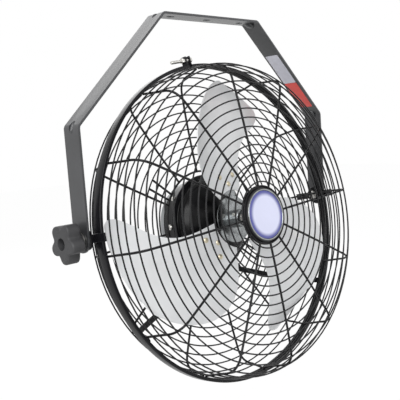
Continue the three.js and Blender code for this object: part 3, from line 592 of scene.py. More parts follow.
def add_box(mesh, sides, centre, matrix=None, rounding=0.0, segments=2):
    """Adds a box with rounded edges."""
    before = set(mesh.verts)
    bmesh.ops.create_cube(mesh, size=1, matrix=Matrix.Translation(centre) @ Matrix.Diagonal((*sides, 1)))
    new = [v for v in mesh.verts if v not in before]
    if rounding:
        edges = list({e for v in new for e in v.link_edges})
        bmesh.ops.bevel(mesh, geom=edges, offset=rounding, offset_type="OFFSET", segments=segments,
                        profile=0.5, affect="EDGES", clamp_overlap=True, material=-1)
        new = [v for v in mesh.verts if v not in before]
    if matrix is not None:
        bmesh.ops.transform(mesh, matrix=matrix, verts=new)


def sweep_wire(points, radius, side, sides=8):
    """Sweeps a round section along points that lie in the plane square to `side`."""
    mesh = bmesh.new()
    places = []
    for i, point in enumerate(points):
        ahead = points[min(i + 1, len(points) - 1)] - points[max(i - 1, 0)]
        tangent = ahead.normalized()
        rotation = Matrix((side, tangent.cross(side), tangent)).transposed().to_4x4()
        places.append(Matrix.Translation(point) @ rotation)
    start = bmesh.ops.create_circle(mesh, cap_ends=True, cap_tris=False, segments=sides, radius=radius,
                                    matrix=places[0])["verts"]
    edges = list({e for v in start for e in v.link_edges})
    for last, following in zip(places, places[1:]):
        grown = bmesh.ops.extrude_edge_only(mesh, edges=edges)["geom"]
        verts = [g for g in grown if isinstance(g, bmesh.types.BMVert)]
        edges = [g for g in grown if isinstance(g, bmesh.types.BMEdge)
                 and all(v in verts for v in g.verts)]
        bmesh.ops.transform(mesh, matrix=following @ last.inverted(), verts=verts)
    bmesh.ops.edgeloop_fill(mesh, edges=edges)
    return mesh


def sweep_ring(radius, depth, wire, steps=96, sides=8):
    """A wire bent into a ring about the Y axis."""
    mesh = bmesh.new()
    add_turned(mesh, [(radius + wire * cos(2 * pi * i / sides), depth + wire * sin(2 * pi * i / sides))
                      for i in range(sides)], steps, closed=True)
    return mesh


def copy_into(mesh, part, places=(Matrix(),)):
    """Copies a part into a mesh at each place, and frees the part."""
    data = bpy.data.meshes.new("part")
    part.to_mesh(data)
    part.free()
    for place in places:
        turned = data.copy()
        turned.transform(place)
        mesh.from_mesh(turned)
        bpy.data.meshes.remove(turned)
    bpy.data.meshes.remove(data)


def ribbon(path, width, bend, steps=5):
    """A sheet in the XZ plane's side view, bent at its inner points."""
    mesh = bmesh.new()
    verts = [mesh.verts.new((x, -width / 2, z)) for x, z in path]
    edges = [mesh.edges.new(pair) for pair in zip(verts, verts[1:])]
    grown = bmesh.ops.extrude_edge_only(mesh, edges=edges)["geom"]
    other = [g for g in grown if isinstance(g, bmesh.types.BMVert)]
    bmesh.ops.translate(mesh, vec=(0, width, 0), verts=other)
    folds = [e for e in mesh.edges if len(e.link_faces) == 2]
    if bend:
        bmesh.ops.bevel(mesh, geom=folds, offset=bend, offset_type="OFFSET", segments=steps,
                        profile=0.5, affect="EDGES", clamp_overlap=True, material=-1)
    return mesh


def thicken(mesh, verts, outward, thickness, edge=0.0):
    """Gives a sheet a wall behind the face that looks outward, and rounds its rim."""
    faces = list({f for v in verts for f in v.link_faces})
    bmesh.ops.recalc_face_normals(mesh, faces=faces)
    if sum(f.normal.dot(outward) * f.calc_area() for f in faces) < 0:
        bmesh.ops.reverse_faces(mesh, faces=faces)
    around = list({e for f in faces for e in f.edges})
    before = set(mesh.verts) - set(verts)
    bmesh.ops.solidify(mesh, geom=faces + around + list(verts), thickness=thickness)
    new = [v for v in mesh.verts if v not in before]
    if edge:
        rims = list({e for v in new for e in v.link_edges
                     if len(e.link_faces) == 2 and e.calc_face_angle(0) > radians(60)})
        bmesh.ops.bevel(mesh, geom=rims, offset=edge, offset_type="OFFSET", segments=2, profile=0.5,
                        affect="EDGES", clamp_overlap=True, material=-1)
        new = [v for v in mesh.verts if v not in before]
    return new


def carve(item, cutters, operation="DIFFERENCE"):
    """Cuts or joins helper meshes with a piece, and removes the helpers."""
    for mesh in cutters:
        bmesh.ops.recalc_face_normals(mesh, faces=mesh.faces)
        data = bpy.data.meshes.new("helper")
        mesh.to_mesh(data)
        mesh.free()
        helper = bpy.data.objects.new("helper", data)
        bpy.context.scene.collection.objects.link(helper)
        boolean = item.modifiers.new("cut", "BOOLEAN")
        boolean.operation = operation
        boolean.solver = "EXACT"
        boolean.object = helper
        bpy.context.view_layer.update()
        graph = bpy.context.evaluated_depsgraph_get()
        result = bpy.data.meshes.new_from_object(item.evaluated_get(graph))
        item.modifiers.clear()
        old = item.data
        item.data = result
        bpy.data.meshes.remove(old)
        bpy.data.objects.remove(helper)
        bpy.data.meshes.remove(data)
    again = bmesh.new()
    again.from_mesh(item.data)
    tidy(again)
    again.to_mesh(item.data)
    again.free()


def hex_radius(flats):
    return flats / 2 / cos(pi / 6)


def add_hex(mesh, flats, low, high, matrix):
    """A hexagon head or nut along Y, its corners turned down by a chamfer."""
    before = set(mesh.verts)
    add_prism(mesh, 6, hex_radius(flats), low, high, None)
    new = [v for v in mesh.verts if v not in before]
    for cut_high in (True, False):
        end = high if cut_high else low
        top = [f for f in {f for v in new if v.is_valid for f in v.link_faces}
               if all(abs(v.co.y - end) < 1e-6 for v in f.verts)]
        bmesh.ops.inset_region(mesh, faces=top, thickness=flats * 0.045, depth=0.0)
        ring = [v for f in top for v in f.verts]
        outer = [v for v in {v for f in top for e in f.edges for g in e.link_faces for v in g.verts}
                 if v not in ring and abs(v.co.y - end) < 1e-6]
        bmesh.ops.translate(mesh, vec=(0, (-1 if cut_high else 1) * flats * 0.045, 0), verts=outer)
    new = [v for v in mesh.verts if v not in before]
    bmesh.ops.transform(mesh, matrix=matrix, verts=new)


def add_thread(mesh, radius, low, high, matrix, pitch=0.0015, steps=24):
    """A threaded end: a rod with fine ridges."""
    count = max(2, int((high - low) / pitch))
    profile = [(0, low), (radius * 0.86, low)]
    for i in range(count):
        at = low + (high - low) * (i + 0.5) / count
        profile += [(radius, at), (radius * 0.9, at + (high - low) * 0.5 / count)]
    profile += [(radius * 0.8, high), (0, high)]
    add_turned(mesh, profile, steps, matrix)


# ---------------------------------------------------------------- yoke
def yoke_corners(yoke):
    arm, top = yoke.width / 2, yoke.top / 2
    drop = yoke.shoulder - yoke.height
    end = -yoke.height - yoke.strip / 2
    return [(-arm, end), (-arm, drop), (-top, 0), (top, 0), (arm, drop), (arm, end)]


class FAN_OT_yoke(bpy.types.Operator):
    """Bends the strip yoke, with its slots, pressed ribs and bolt holes"""
    bl_idname = "fan.yoke"
    bl_label = "Yoke"

    def execute(self, context):
        yoke = context.scene.fan_yoke
        corners = yoke_corners(yoke)
        mesh = ribbon(corners, yoke.strip, yoke.bend)
        ends = [v for v in mesh.verts if abs(v.co.z - corners[0][1]) < 1e-6]
        bmesh.ops.bevel(mesh, geom=ends, offset=yoke.strip * 0.499, offset_type="OFFSET", segments=10,
                        profile=0.5, affect="VERTICES", clamp_overlap=True, material=-1)
        thicken(mesh, mesh.verts[:], Vector((0, 0, 1)), yoke.thickness, 0.0006)
        strip = piece(mesh, "strip_yoke", "yoke", "yoke_paint", ["yoke_bracket"])
        carve(strip, [self.slot(place * yoke.slot_pitch, yoke) for place in (-1, 0, 1)])
        carve(strip, [self.bolt_hole(yoke, context.scene.fan_pivot.hole)])
        carve(strip, [self.dimple(corners, i, yoke, True) for i in range(1, 5)], "UNION")
        carve(strip, [self.dimple(corners, i, yoke, False) for i in range(1, 5)])
        return {"FINISHED"}

    @staticmethod
    def slot(x, yoke):
        mesh = bmesh.new()
        reach = (yoke.slot_length - yoke.slot_width) / 2
        bmesh.ops.create_cone(mesh, cap_ends=True, segments=64, radius1=yoke.slot_width / 2,
                              radius2=yoke.slot_width / 2, depth=0.03)
        for vert in mesh.verts:
            vert.co.x += x + reach * (1 if vert.co.x > 0 else -1)
        return mesh

    @staticmethod
    def bolt_hole(yoke, radius):
        mesh = bmesh.new()
        add_prism(mesh, 48, radius, -yoke.width, yoke.width,
                  Matrix.Translation((0, 0, -yoke.height)) @ Matrix.Rotation(pi / 2, 4, "Z"))
        return mesh

    @staticmethod
    def dimple(corners, i, yoke, inside):
        """A rib pressed across a bend: a swelling inside and a hollow outside."""
        corner = Vector((corners[i][0], 0, corners[i][1]))
        first = (Vector((corners[i - 1][0], 0, corners[i - 1][1])) - corner).normalized()
        second = (Vector((corners[i + 1][0], 0, corners[i + 1][1])) - corner).normalized()
        inward = (first + second).normalized()
        across = (second - first).normalized()
        depth = yoke.thickness + 0.0025 if inside else 0.0014
        matrix = Matrix((across, (0, 1, 0), across.cross(Vector((0, 1, 0))))).transposed().to_4x4()
        mesh = bmesh.new()
        reach = (0.0100, 0.0070, 0.0038) if inside else (0.0112, 0.0047, 0.0047)
        bmesh.ops.create_uvsphere(mesh, u_segments=24, v_segments=12, radius=1)
        bmesh.ops.transform(mesh, verts=mesh.verts, matrix=Matrix.Translation(corner + inward * depth)
                            @ matrix @ Matrix.Diagonal((*reach, 1)))
        return mesh


class FAN_OT_labels(bpy.types.Operator):
    """Lays the two bare labels on the inside of the yoke's right slope"""
    bl_idname = "fan.labels"
    bl_label = "Bare Labels"

    def execute(self, context):
        yoke = context.scene.fan_yoke
        corners = yoke_corners(yoke)
        top, low = (Vector((x, 0, z)) for x, z in corners[3:5])
        down = (low - top).normalized()
        side = Vector((0, 1, 0))
        inward = side.cross(down).normalized()
        if inward.x > 0:
            inward.negate()
        face = Matrix((down, side, inward)).transposed().to_4x4()
        place = Matrix.Translation(top + inward * (yoke.thickness + 0.0001)) @ face
        runs = ((yoke.label_start, yoke.label_length, "label_pale"),
                (yoke.label_start + yoke.label_length + 0.0004, yoke.label_second, "label_red"))
        for start, length, material in runs:
            mesh = bmesh.new()
            self.sticker(mesh, length, yoke.label_width)
            piece(mesh, material + "_sticker", "yoke", material,
                  place=place @ Matrix.Translation((start + length / 2, 0.0004, 0)))
        return {"FINISHED"}

    @staticmethod
    def sticker(mesh, length, width):
        """A thin sheet with round corners and a crisp cut edge."""
        bmesh.ops.create_grid(mesh, x_segments=1, y_segments=1, size=0.5,
                              matrix=Matrix.Diagonal((length, width, 1, 1)))
        bmesh.ops.bevel(mesh, geom=mesh.verts[:], offset=0.0022, offset_type="OFFSET", segments=6,
                        profile=0.5, affect="VERTICES", clamp_overlap=True, material=-1)
        grown = bmesh.ops.extrude_face_region(mesh, geom=mesh.faces[:])["geom"]
        top = [g for g in grown if isinstance(g, bmesh.types.BMVert)]
        bmesh.ops.translate(mesh, vec=(0, 0, 0.0002), verts=top)


# ---------------------------------------------------------------- side pivots
def side_matrix(scene, side):
    """A frame on the tilt axis whose Y axis points out of one side of the head."""
    return head_place(scene) @ Matrix.Rotation(-side * pi / 2, 4, "Z")


class FAN_OT_pivots(bpy.types.Operator):
    """Makes the pivot brackets, bolts, washers, spacers and the lock nut"""
    bl_idname = "fan.pivots"
    bl_label = "Side Pivots"

    def execute(self, context):
        scene = context.scene
        yoke, pivot = scene.fan_yoke, scene.fan_pivot
        arm = yoke.width / 2
        inner = arm - yoke.thickness
        ear = inner - pivot.gap
        for side, name in ((-1, "left"), (1, "right")):
            place = side_matrix(scene, side)
            self.bracket(scene, side, name, ear)
            self.ring(name + "_rubber_spacer", "black_rubber", name + "_friction_spacer", place, 0.0052,
                      pivot.spacer, ear + pivot.clear, inner - pivot.clear)
            self.ring(name + "_plain_washer", "zinc_steel", name + "_pivot_washer", place, 0.0053,
                      pivot.washer, arm + pivot.clear, arm + pivot.stack - pivot.clear)
            self.bolt(name, pivot, place, ear - pivot.bar - pivot.clear, arm, 0.02 if side < 0 else 0.0115)
        self.lock_nut(side_matrix(scene, 1), arm + pivot.stack, pivot.flats)
        return {"FINISHED"}

    @staticmethod
    def ring(name, material, node, place, bore, radius, low, high):
        """A flat ring with eased edges."""
        ease = 0.0004
        mesh = bmesh.new()
        add_turned(mesh, [(bore, low), (radius - ease, low), (radius, low + ease), (radius, high - ease),
                          (radius - ease, high), (bore, high)], 48, place, True)
        piece(mesh, name, "head", material, [node])

    @staticmethod
    def bolt(name, pivot, place, face, arm, tail):
        """A hexagon bolt: its head, the washer face under it, the shank and the threaded end."""
        shank = arm + 0.002
        mesh = bmesh.new()
        add_hex(mesh, pivot.flats, face - 0.0056, face - 0.0004, place @ Matrix.Rotation(0.3, 4, "Y"))
        add_turned(mesh, [(0, face - 0.0008), (0.0069, face - 0.0008), (0.0069, face), (0.0046, face),
                          (0.0046, shank), (0, shank)], 32, place)
        add_thread(mesh, pivot.bolt, shank, arm + pivot.stack + tail, place)
        piece(mesh, name + "_hex_bolt", "head", "zinc_steel", [name + "_pivot_bolt"])

    @staticmethod
    def bracket(scene, side, name, ear):
        """A flat bar welded to the band, stepped out to a round ear."""
        pivot = scene.fan_pivot
        step = -scene.fan_head.behind + scene.fan_cage.band_width / 2 + 0.0015
        pad = ear - pivot.bar_step
        path = [(pad, -pivot.bar_reach), (pad, step), (ear, step + 0.005), (ear, pivot.bar_reach)]
        mesh = ribbon(path, pivot.bar_width, pivot.fold, 4)
        thicken(mesh, mesh.verts[:], Vector((1, 0, 0)), pivot.bar, 0.0006)
        lay = Matrix(((1, 0, 0, 0), (0, 0, 1, 0), (0, -1, 0, 0), (0, 0, 0, 1)))
        mirror = Matrix.Diagonal((side, 1, 1, 1))
        bmesh.ops.transform(mesh, matrix=head_place(scene) @ mirror @ lay, verts=mesh.verts)
        bar = piece(mesh, name + "_side_bracket", "head", "black_steel", [name + "_pivot_bracket"])
        disc = bmesh.new()
        back, ease = ear - pivot.bar, 0.0004
        rim = [(0, back), (pivot.ear - ease, back), (pivot.ear, back + ease), (pivot.ear, ear - ease),
               (pivot.ear - ease, ear), (0, ear)]
        add_turned(disc, rim, 48, side_matrix(scene, side))
        carve(bar, [disc], "UNION")
        hole = bmesh.new()
        add_prism(hole, 40, pivot.hole, ear - 0.02, ear + 0.01, side_matrix(scene, side))
        carve(bar, [hole])

    @staticmethod
    def lock_nut(place, start, flats):
        """A hexagon nut with a nylon collar."""
        mesh = bmesh.new()
        add_turned(mesh, [(0.0053, start + 0.006), (0.0066, start + 0.006), (0.0066, start + 0.0082),
                          (0.006, start + 0.0089), (0.0053, start + 0.0089)], 36, place, True)
        add_hex(mesh, flats, start, start + 0.0068, place)
        piece(mesh, "nylon_lock_nut", "head", "zinc_steel", ["right_lock_nut"])


class FAN_OT_star_knob(bpy.types.Operator):
    """Moulds the five lobed clamp knob"""
    bl_idname = "fan.star_knob"
    bl_label = "Star Knob"

    def execute(self, context):
        scene = context.scene
        knob_sizes = scene.fan_knob
        start = scene.fan_yoke.width / 2 + scene.fan_pivot.stack
        place = side_matrix(scene, -1)
        mesh = bmesh.new()
        bmesh.ops.create_cone(mesh, cap_ends=True, segments=120, radius1=1, radius2=1, depth=knob_sizes.star)
        for vert in mesh.verts:
            angle = atan2(vert.co.y, vert.co.x)
            radius = (knob_sizes.radius + knob_sizes.lobe * sin(knob_sizes.lobes * angle)
                      + knob_sizes.crest * cos(2 * knob_sizes.lobes * angle))
            vert.co = (radius * cos(angle), radius * sin(angle), vert.co.z + knob_sizes.star / 2)
        rims = [e for e in mesh.edges if abs(e.verts[0].co.z - e.verts[1].co.z) < 1e-6]
        bmesh.ops.bevel(mesh, geom=rims, offset=knob_sizes.edge, offset_type="OFFSET", segments=6,
                        profile=0.5, affect="EDGES", clamp_overlap=True, material=-1)
        turn_out = (place @ Matrix.Translation((0, start + knob_sizes.foot, 0))
                    @ Matrix.Rotation(-pi / 2, 4, "X"))
        bmesh.ops.transform(mesh, matrix=turn_out, verts=mesh.verts)
        knob = piece(mesh, "five_lobe_knob", "clamp_knob", "knob_plastic", ["star_knob"])
        hub = bmesh.new()
        add_turned(hub, [(0, start), (0.0118, start), (0.0134, start + 0.0012), (0.0138, start + 0.0085),
                         (0, start + 0.0085)], 48, place)
        carve(knob, [hub], "UNION")
        end = start + knob_sizes.foot + knob_sizes.star
        low = end - knob_sizes.recess
        recess = bmesh.new()
        add_turned(recess, [(0, low), (0.0072, low), (0.0076, low + 0.0004),
                            (0.0084, end + 0.0002), (0.0092, end + 0.002), (0, end + 0.002)], 48, place)
        carve(knob, [recess])
        bore = bmesh.new()
        add_prism(bore, 32, 0.0050, start - 0.001, low - 0.0013, place)
        carve(knob, [bore])
        insert = bmesh.new()
        add_turned(insert, [(0, low - 0.0001), (0.0052, low - 0.0001), (0.0056, low + 0.0003),
                            (0.0056, low + 0.0013), (0.005, low + 0.0018), (0.002, low + 0.002),
                            (0, low + 0.0014)], 36, place)
        piece(insert, "knob_cap_screw", "clamp_knob", "black_steel")
        return {"FINISHED"}


# ---------------------------------------------------------------- cage
class Outline:
    """A guard's side view from its rim to its inner ring, as (radius, depth) points."""

    def __init__(self, depth, lean, corner, dish, inner, end, start):
        side, face = end - lean, depth - dish
        self.points = [Vector((end, start))]
        self.points += self._curve((side, face - corner), (side - 0.001, face - 0.001),
                                   (side - corner, face), 14)
        self.points += self._curve((side - corner, face), ((side + inner) / 2, depth),
                                   (inner, depth), 16)[1:]
        self.runs = [(b - a).length for a, b in zip(self.points, self.points[1:])]
        self.length = sum(self.runs)

    @staticmethod
    def _curve(a, b, c, steps):
        a, b, c = Vector(a), Vector(b), Vector(c)
        shares = [i / steps for i in range(steps + 1)]
        return [a * (1 - t) ** 2 + b * 2 * t * (1 - t) + c * t * t for t in shares]

    def at(self, distance):
        """The point and the direction out of the cage, at a distance from the inner ring."""
        left = self.length - distance
        for start, end, run in zip(self.points, self.points[1:], self.runs):
            if left <= run + 1e-9:
                break
            left -= run
        forward = (end - start).normalized()
        return start + forward * left, Vector((forward.y, -forward.x))


def cage_outlines(cage):
    """The front and rear outlines, between the same rims."""
    rim = 0.251 - cage.band_wall - 0.0003 - cage.rim
    end = rim - cage.rim - cage.radial + 0.0008
    start = cage.rim + 0.0003
    front = Outline(cage.front_depth, 0.006, 0.030, 0.005, cage.front_inner, end, start)
    rear = Outline(cage.rear_depth, 0.005, 0.026, 0.005, cage.rear_inner, end, start)
    return rim, start, front, rear


class FAN_OT_guards(bpy.types.Operator):
    """Bends and welds the front and rear wire guards"""
    bl_idname = "fan.guards"
    bl_label = "Wire Guards"

    def execute(self, context):
        scene = context.scene
        cage = scene.fan_cage
        rim, start, front, rear = cage_outlines(cage)
        for facing, outline, first, inner, name in ((-1, front, 0.0064, cage.ring, "front"),
                                                    (1, rear, cage.pitch, cage.radial, "rear")):
            mesh = bmesh.new()
            copy_into(mesh, sweep_ring(rim, facing * start, cage.rim, 144, 10))
            point, out = outline.at(0)
            seat = point + out * inner / 2
            copy_into(mesh, sweep_ring(seat.x, facing * seat.y, inner, 72, 10))
            path = [Vector((p.x, facing * p.y, 0)) for p in outline.points]
            turns = [cage.clock + i * 2 * pi / cage.count for i in range(cage.count)]
            copy_into(mesh, sweep_wire(path, cage.radial, Vector((0, 0, 1)), 10),
                      [Matrix.Rotation(-angle, 4, "Y") for angle in turns])
            along_face = first
            clear = cage.band_width / 2 - start + cage.ring * 1.3 + 0.002
            while along_face < outline.length - clear:
                point, out = outline.at(along_face)
                seat = point + out * (cage.ring + cage.radial - 0.0003)
                steps = 96 if seat.x > 0.12 else 64
                copy_into(mesh, sweep_ring(seat.x, facing * seat.y, cage.ring, steps, 8))
                along_face += cage.pitch
            if facing > 0:
                self.stubs(mesh, cage)
            piece(mesh, name + "_wire_guard", "head", "black_wire", [name + "_guard"],
                  place=fan_place(scene), sharp=radians(60))
        return {"FINISHED"}

    @staticmethod
    def stubs(mesh, cage):
        """Four pairs of short wires on the back of the rear guard."""
        path = [Vector((cage.rear_inner + 0.042 * i / 4, cage.rear_depth, 0)) for i in range(5)]
        angles = [radians(144.5 + quarter * 90 + side * 3.5) for quarter in range(4) for side in (-1, 1)]
        copy_into(mesh, sweep_wire(path, cage.radial, Vector((0, 0, 1)), 10),
                  [Matrix.Rotation(-angle, 4, "Y") for angle in angles])


class FAN_OT_band(bpy.types.Operator):
    """Rolls the split clamp band, with its ears, screw and nut"""
    bl_idname = "fan.band"
    bl_label = "Clamp Band"

    def execute(self, context):
        scene = context.scene
        cage = scene.fan_cage
        place = fan_place(scene)
        half = cage.band_width / 2
        lip = 0.2458
        outer, inside = cage.band, 0.2489
        wall_size = cage.band_wall
        profile = ([(lip, -half)] + arc((outer - 0.0016, -half + 0.0016), 0.0016, -pi / 2, 0, 4)
                   + arc((outer - 0.0016, half - 0.0016), 0.0016, 0, pi / 2, 4)
                   + [(lip, half), (lip, half - wall_size), (inside - 0.0006, half - wall_size),
                      (inside, half - wall_size - 0.0006), (inside, -half + wall_size + 0.0006),
                      (inside - 0.0006, -half + wall_size), (lip, -half + wall_size)])
        split = cage.split / outer
        mesh = bmesh.new()
        verts = [mesh.verts.new((radius, depth, 0)) for radius, depth in profile]
        edges = [mesh.edges.new((a, b)) for a, b in zip(verts, verts[1:] + verts[:1])]
        bmesh.ops.edgeloop_fill(mesh, edges=edges)
        bmesh.ops.rotate(mesh, cent=(0, 0, 0), verts=verts,
                         matrix=Matrix.Rotation(-(cage.split_at + split / 2), 3, "Y"))
        bmesh.ops.spin(mesh, geom=mesh.faces[:] + edges + verts, cent=(0, 0, 0), axis=(0, -1, 0),
                       dvec=(0, 0, 0), angle=2 * pi - split, steps=216, use_merge=False,
                       use_normal_flip=False, use_duplicate=False)
        stand = Matrix.Rotation(pi / 2 - cage.split_at, 4, "Y")
        ear = (0.0024, 0.0108, 0.0146)
        for side in (-1, 1):
            add_box(mesh, ear, (side * 0.00425, 0, 0.2494 + ear[2] / 2), stand, 0.0008, 3)
        piece(mesh, "split_guard_band", "head", "black_steel", ["guard_band"], place=place)
        height = 0.251 + 0.013 * 0.55
        axis = place @ stand @ Matrix.Translation((0, 0, height)) @ Matrix.Rotation(-pi / 2, 4, "Z")
        face = 0.003 + 0.0025 + 0.0003
        mesh = bmesh.new()
        add_hex(mesh, 0.008, face, face + 0.004, axis)
        add_turned(mesh, [(0, face - 0.001), (0.0024, face - 0.001), (0.0024, face + 0.001),
                          (0, face + 0.001)], 24, axis)
        add_thread(mesh, 0.0025, face - 0.038, face - 0.0008, axis, 0.0009, 20)
        piece(mesh, "clamp_machine_screw", "head", "zinc_steel", ["band_clamp_screw"])
        mesh = bmesh.new()
        add_hex(mesh, 0.008, -face - 0.005, -face, axis)
        piece(mesh, "clamp_hex_nut", "head", "zinc_steel", ["band_clamp_nut"])
        return {"FINISHED"}


class FAN_OT_badge(bpy.types.Operator):
    """Turns the badge cup, its bright rim, the bare disc and the plate behind"""
    bl_idname = "fan.badge"
    bl_label = "Bare Badge"

    def execute(self, context):
        scene = context.scene
        badge = scene.fan_badge
        place = fan_place(scene)
        face = -scene.fan_cage.front_depth - badge.stand
        plate = -scene.fan_cage.front_depth + 0.00154
        lip = badge.cup - 0.0015
        cup = [(0, face + 0.0031), (lip, face + 0.0031), (lip, face + 0.0013)]
        cup += arc((lip, face + 0.0028), 0.0015, -pi / 2, -0.1, 5)
        cup += [(badge.cup, plate - 0.0006), (badge.cup - 0.0004, plate - 0.0003), (0, plate - 0.0003)]
        self.build(cup, "badge_mount_cup", "black_plastic", ["badge_cup"], place)
        bezel = [(badge.rim - 0.0025, face + 0.0026), (badge.rim - 0.0025, face + 0.0010)]
        bezel += arc((badge.rim - 0.0012, face + 0.0014), 0.0012, pi * 1.1, pi * 1.95, 8)
        bezel += [(badge.rim, face + 0.0026)]
        self.build(bezel, "badge_bright_rim", "bright_metal", ["badge_bezel"], place, True)
        disc = [(0, face + 0.0026), (badge.disc - 0.0002, face + 0.0026), (badge.disc, face + 0.0013),
                (badge.disc - 0.0004, face + 0.0009),
                (0.026, face + 0.00055), (0.013, face + 0.00045), (0, face + 0.0004)]
        self.build(disc, "bare_badge_disc", "badge_face", ["badge_disc"], place)
        back = [(0.0034, plate), (badge.plate - 0.0003, plate), (badge.plate, plate + 0.0004),
                (badge.plate, plate + 0.0011), (badge.plate - 0.0004, plate + 0.0015),
                (0.0034, plate + 0.0015)]
        self.build(back, "badge_clamp_plate", "black_steel", ["badge_backplate"], place, True)
        tail = plate + 0.0018
        screw = [(0, plate - 0.0018), (0.0024, plate - 0.0018), (0.0024, tail), (0.0049, tail),
                 (0.0048, tail + 0.0008), (0.0040, tail + 0.0022), (0.0020, tail + 0.0027),
                 (0.0012, tail + 0.0012), (0, tail + 0.0012)]
        self.build(screw, "badge_pan_screw", "zinc_steel", ["badge_screw"], place)
        return {"FINISHED"}

    @staticmethod
    def build(profile, name, material, nodes, place, closed=False):
        mesh = bmesh.new()
        add_turned(mesh, profile, 96, None, closed)
        piece(mesh, name, "head", material, nodes, place=place)


# ---------------------------------------------------------------- blades
def smooth(low, high, value):
    share = min(1.0, max(0.0, (value - low) / (high - low)))
    return share * share * (3 - 2 * share)


def cubic(factors, share):
    a, b, c, d = factors
    return a + share * (b + share * (c + share * d))


def tip_share(blade, share):
    """How much of the blade's width is left where its tip rounds off."""
    past = max(share - blade.tip_start, 0.0) / (1 - blade.tip_start)
    return blade.tip_width + (1 - blade.tip_width) * sqrt(max(0.0, 1 - past ** 2.4))


def blade_edges(blade, share):
    """The two edges at a share of the blade's length, in degrees from its arm."""
    lead, trail = cubic(blade.lead_angle, share), cubic(blade.trail_angle, share)
    half = (trail - lead) / 2 * tip_share(blade, share)
    return (lead + trail) / 2 - half, (lead + trail) / 2 + half


def blade_point(blade, share, across, offset=0.0):
    """A point of the blade: across runs from -1, leading, to 1, trailing."""
    radius = blade.root + (blade.tip - blade.root) * share
    lead, trail = blade_edges(blade, share)
    angle = blade.first + radians((lead + trail) / 2 + across * (trail - lead) / 2)
    front, back = cubic(blade.trail_depth, share) / 1000, cubic(blade.lead_depth, share) / 1000
    slope = (front - back) / 2 * tip_share(blade, share) * across
    bow = blade.camber * share * (1 - across * across)
    depth = blade.hub + (front + back) / 2 + slope + bow + offset
    return Vector((radius * cos(angle), depth, radius * sin(angle)))


def blade_spot(blade, radius, angle, offset=0.0):
    """A point of the blade at a radius and an angle from its arm, in degrees."""
    share = (radius - blade.root) / (blade.tip - blade.root)
    lead, trail = blade_edges(blade, share)
    return blade_point(blade, share, (angle - (lead + trail) / 2) / ((trail - lead) / 2), offset)


def blade_frame(blade, radius, angle):
    """A frame on the blade's front face whose Y axis points out of it, towards the front."""
    share = (radius - blade.root) / (blade.tip - blade.root)
    lead, trail = blade_edges(blade, share)
    across = (angle - (lead + trail) / 2) / ((trail - lead) / 2)
    here = blade_point(blade, share, across)
    chord = blade_point(blade, share, across + 0.05) - here
    span = blade_point(blade, share + 0.01, across) - here
    normal = chord.cross(span).normalized()
    if normal.y > 0:
        normal.negate()
    return along(here, here + normal)


class FAN_OT_blades(bpy.types.Operator):
    """Presses the blades from aluminium sheet"""
    bl_idname = "fan.blades"
    bl_label = "Blades"

    def execute(self, context):
        scene = context.scene
        blade = scene.fan_blade
        place = fan_place(scene)
        for i in range(blade.count):
            mesh = bmesh.new()
            bmesh.ops.create_grid(mesh, x_segments=28, y_segments=44, size=1)
            for vert in mesh.verts:
                across, share = vert.co.x, (vert.co.y + 1) / 2
                share = 1 - (1 - share) ** 1.35
                vert.co = blade_point(blade, share, across)
            thicken(mesh, mesh.verts[:], Vector((0, -1, 0)), blade.sheet, 0.0004)
            spin = Matrix.Rotation(-i * 2 * pi / blade.count, 4, "Y")
            piece(mesh, f"pressed_blade_{i + 1}", "rotor", "blade_aluminium", [f"fan_blade_{i + 1}"],
                  place=place @ spin)
        self.spot(blade, place @ Matrix.Rotation(-4 * pi / blade.count, 4, "Y"))
        return {"FINISHED"}

    @staticmethod
    def spot(blade, place):
        """A bare round label laid on one blade."""
        mesh = bmesh.new()
        bmesh.ops.create_circle(mesh, cap_ends=True, cap_tris=True, segments=48, radius=blade.spot)
        bmesh.ops.subdivide_edges(mesh, edges=mesh.edges[:], cuts=3, use_grid_fill=True)
        for vert in mesh.verts:
            radius = blade.spot_radius + vert.co.x
            vert.co = blade_spot(blade, radius, degrees(blade.spot_angle + vert.co.y / radius), -0.0004)
        thicken(mesh, mesh.verts[:], Vector((0, -1, 0)), 0.00025)
        piece(mesh, "round_blade_label", "rotor", "label_white", place=place)


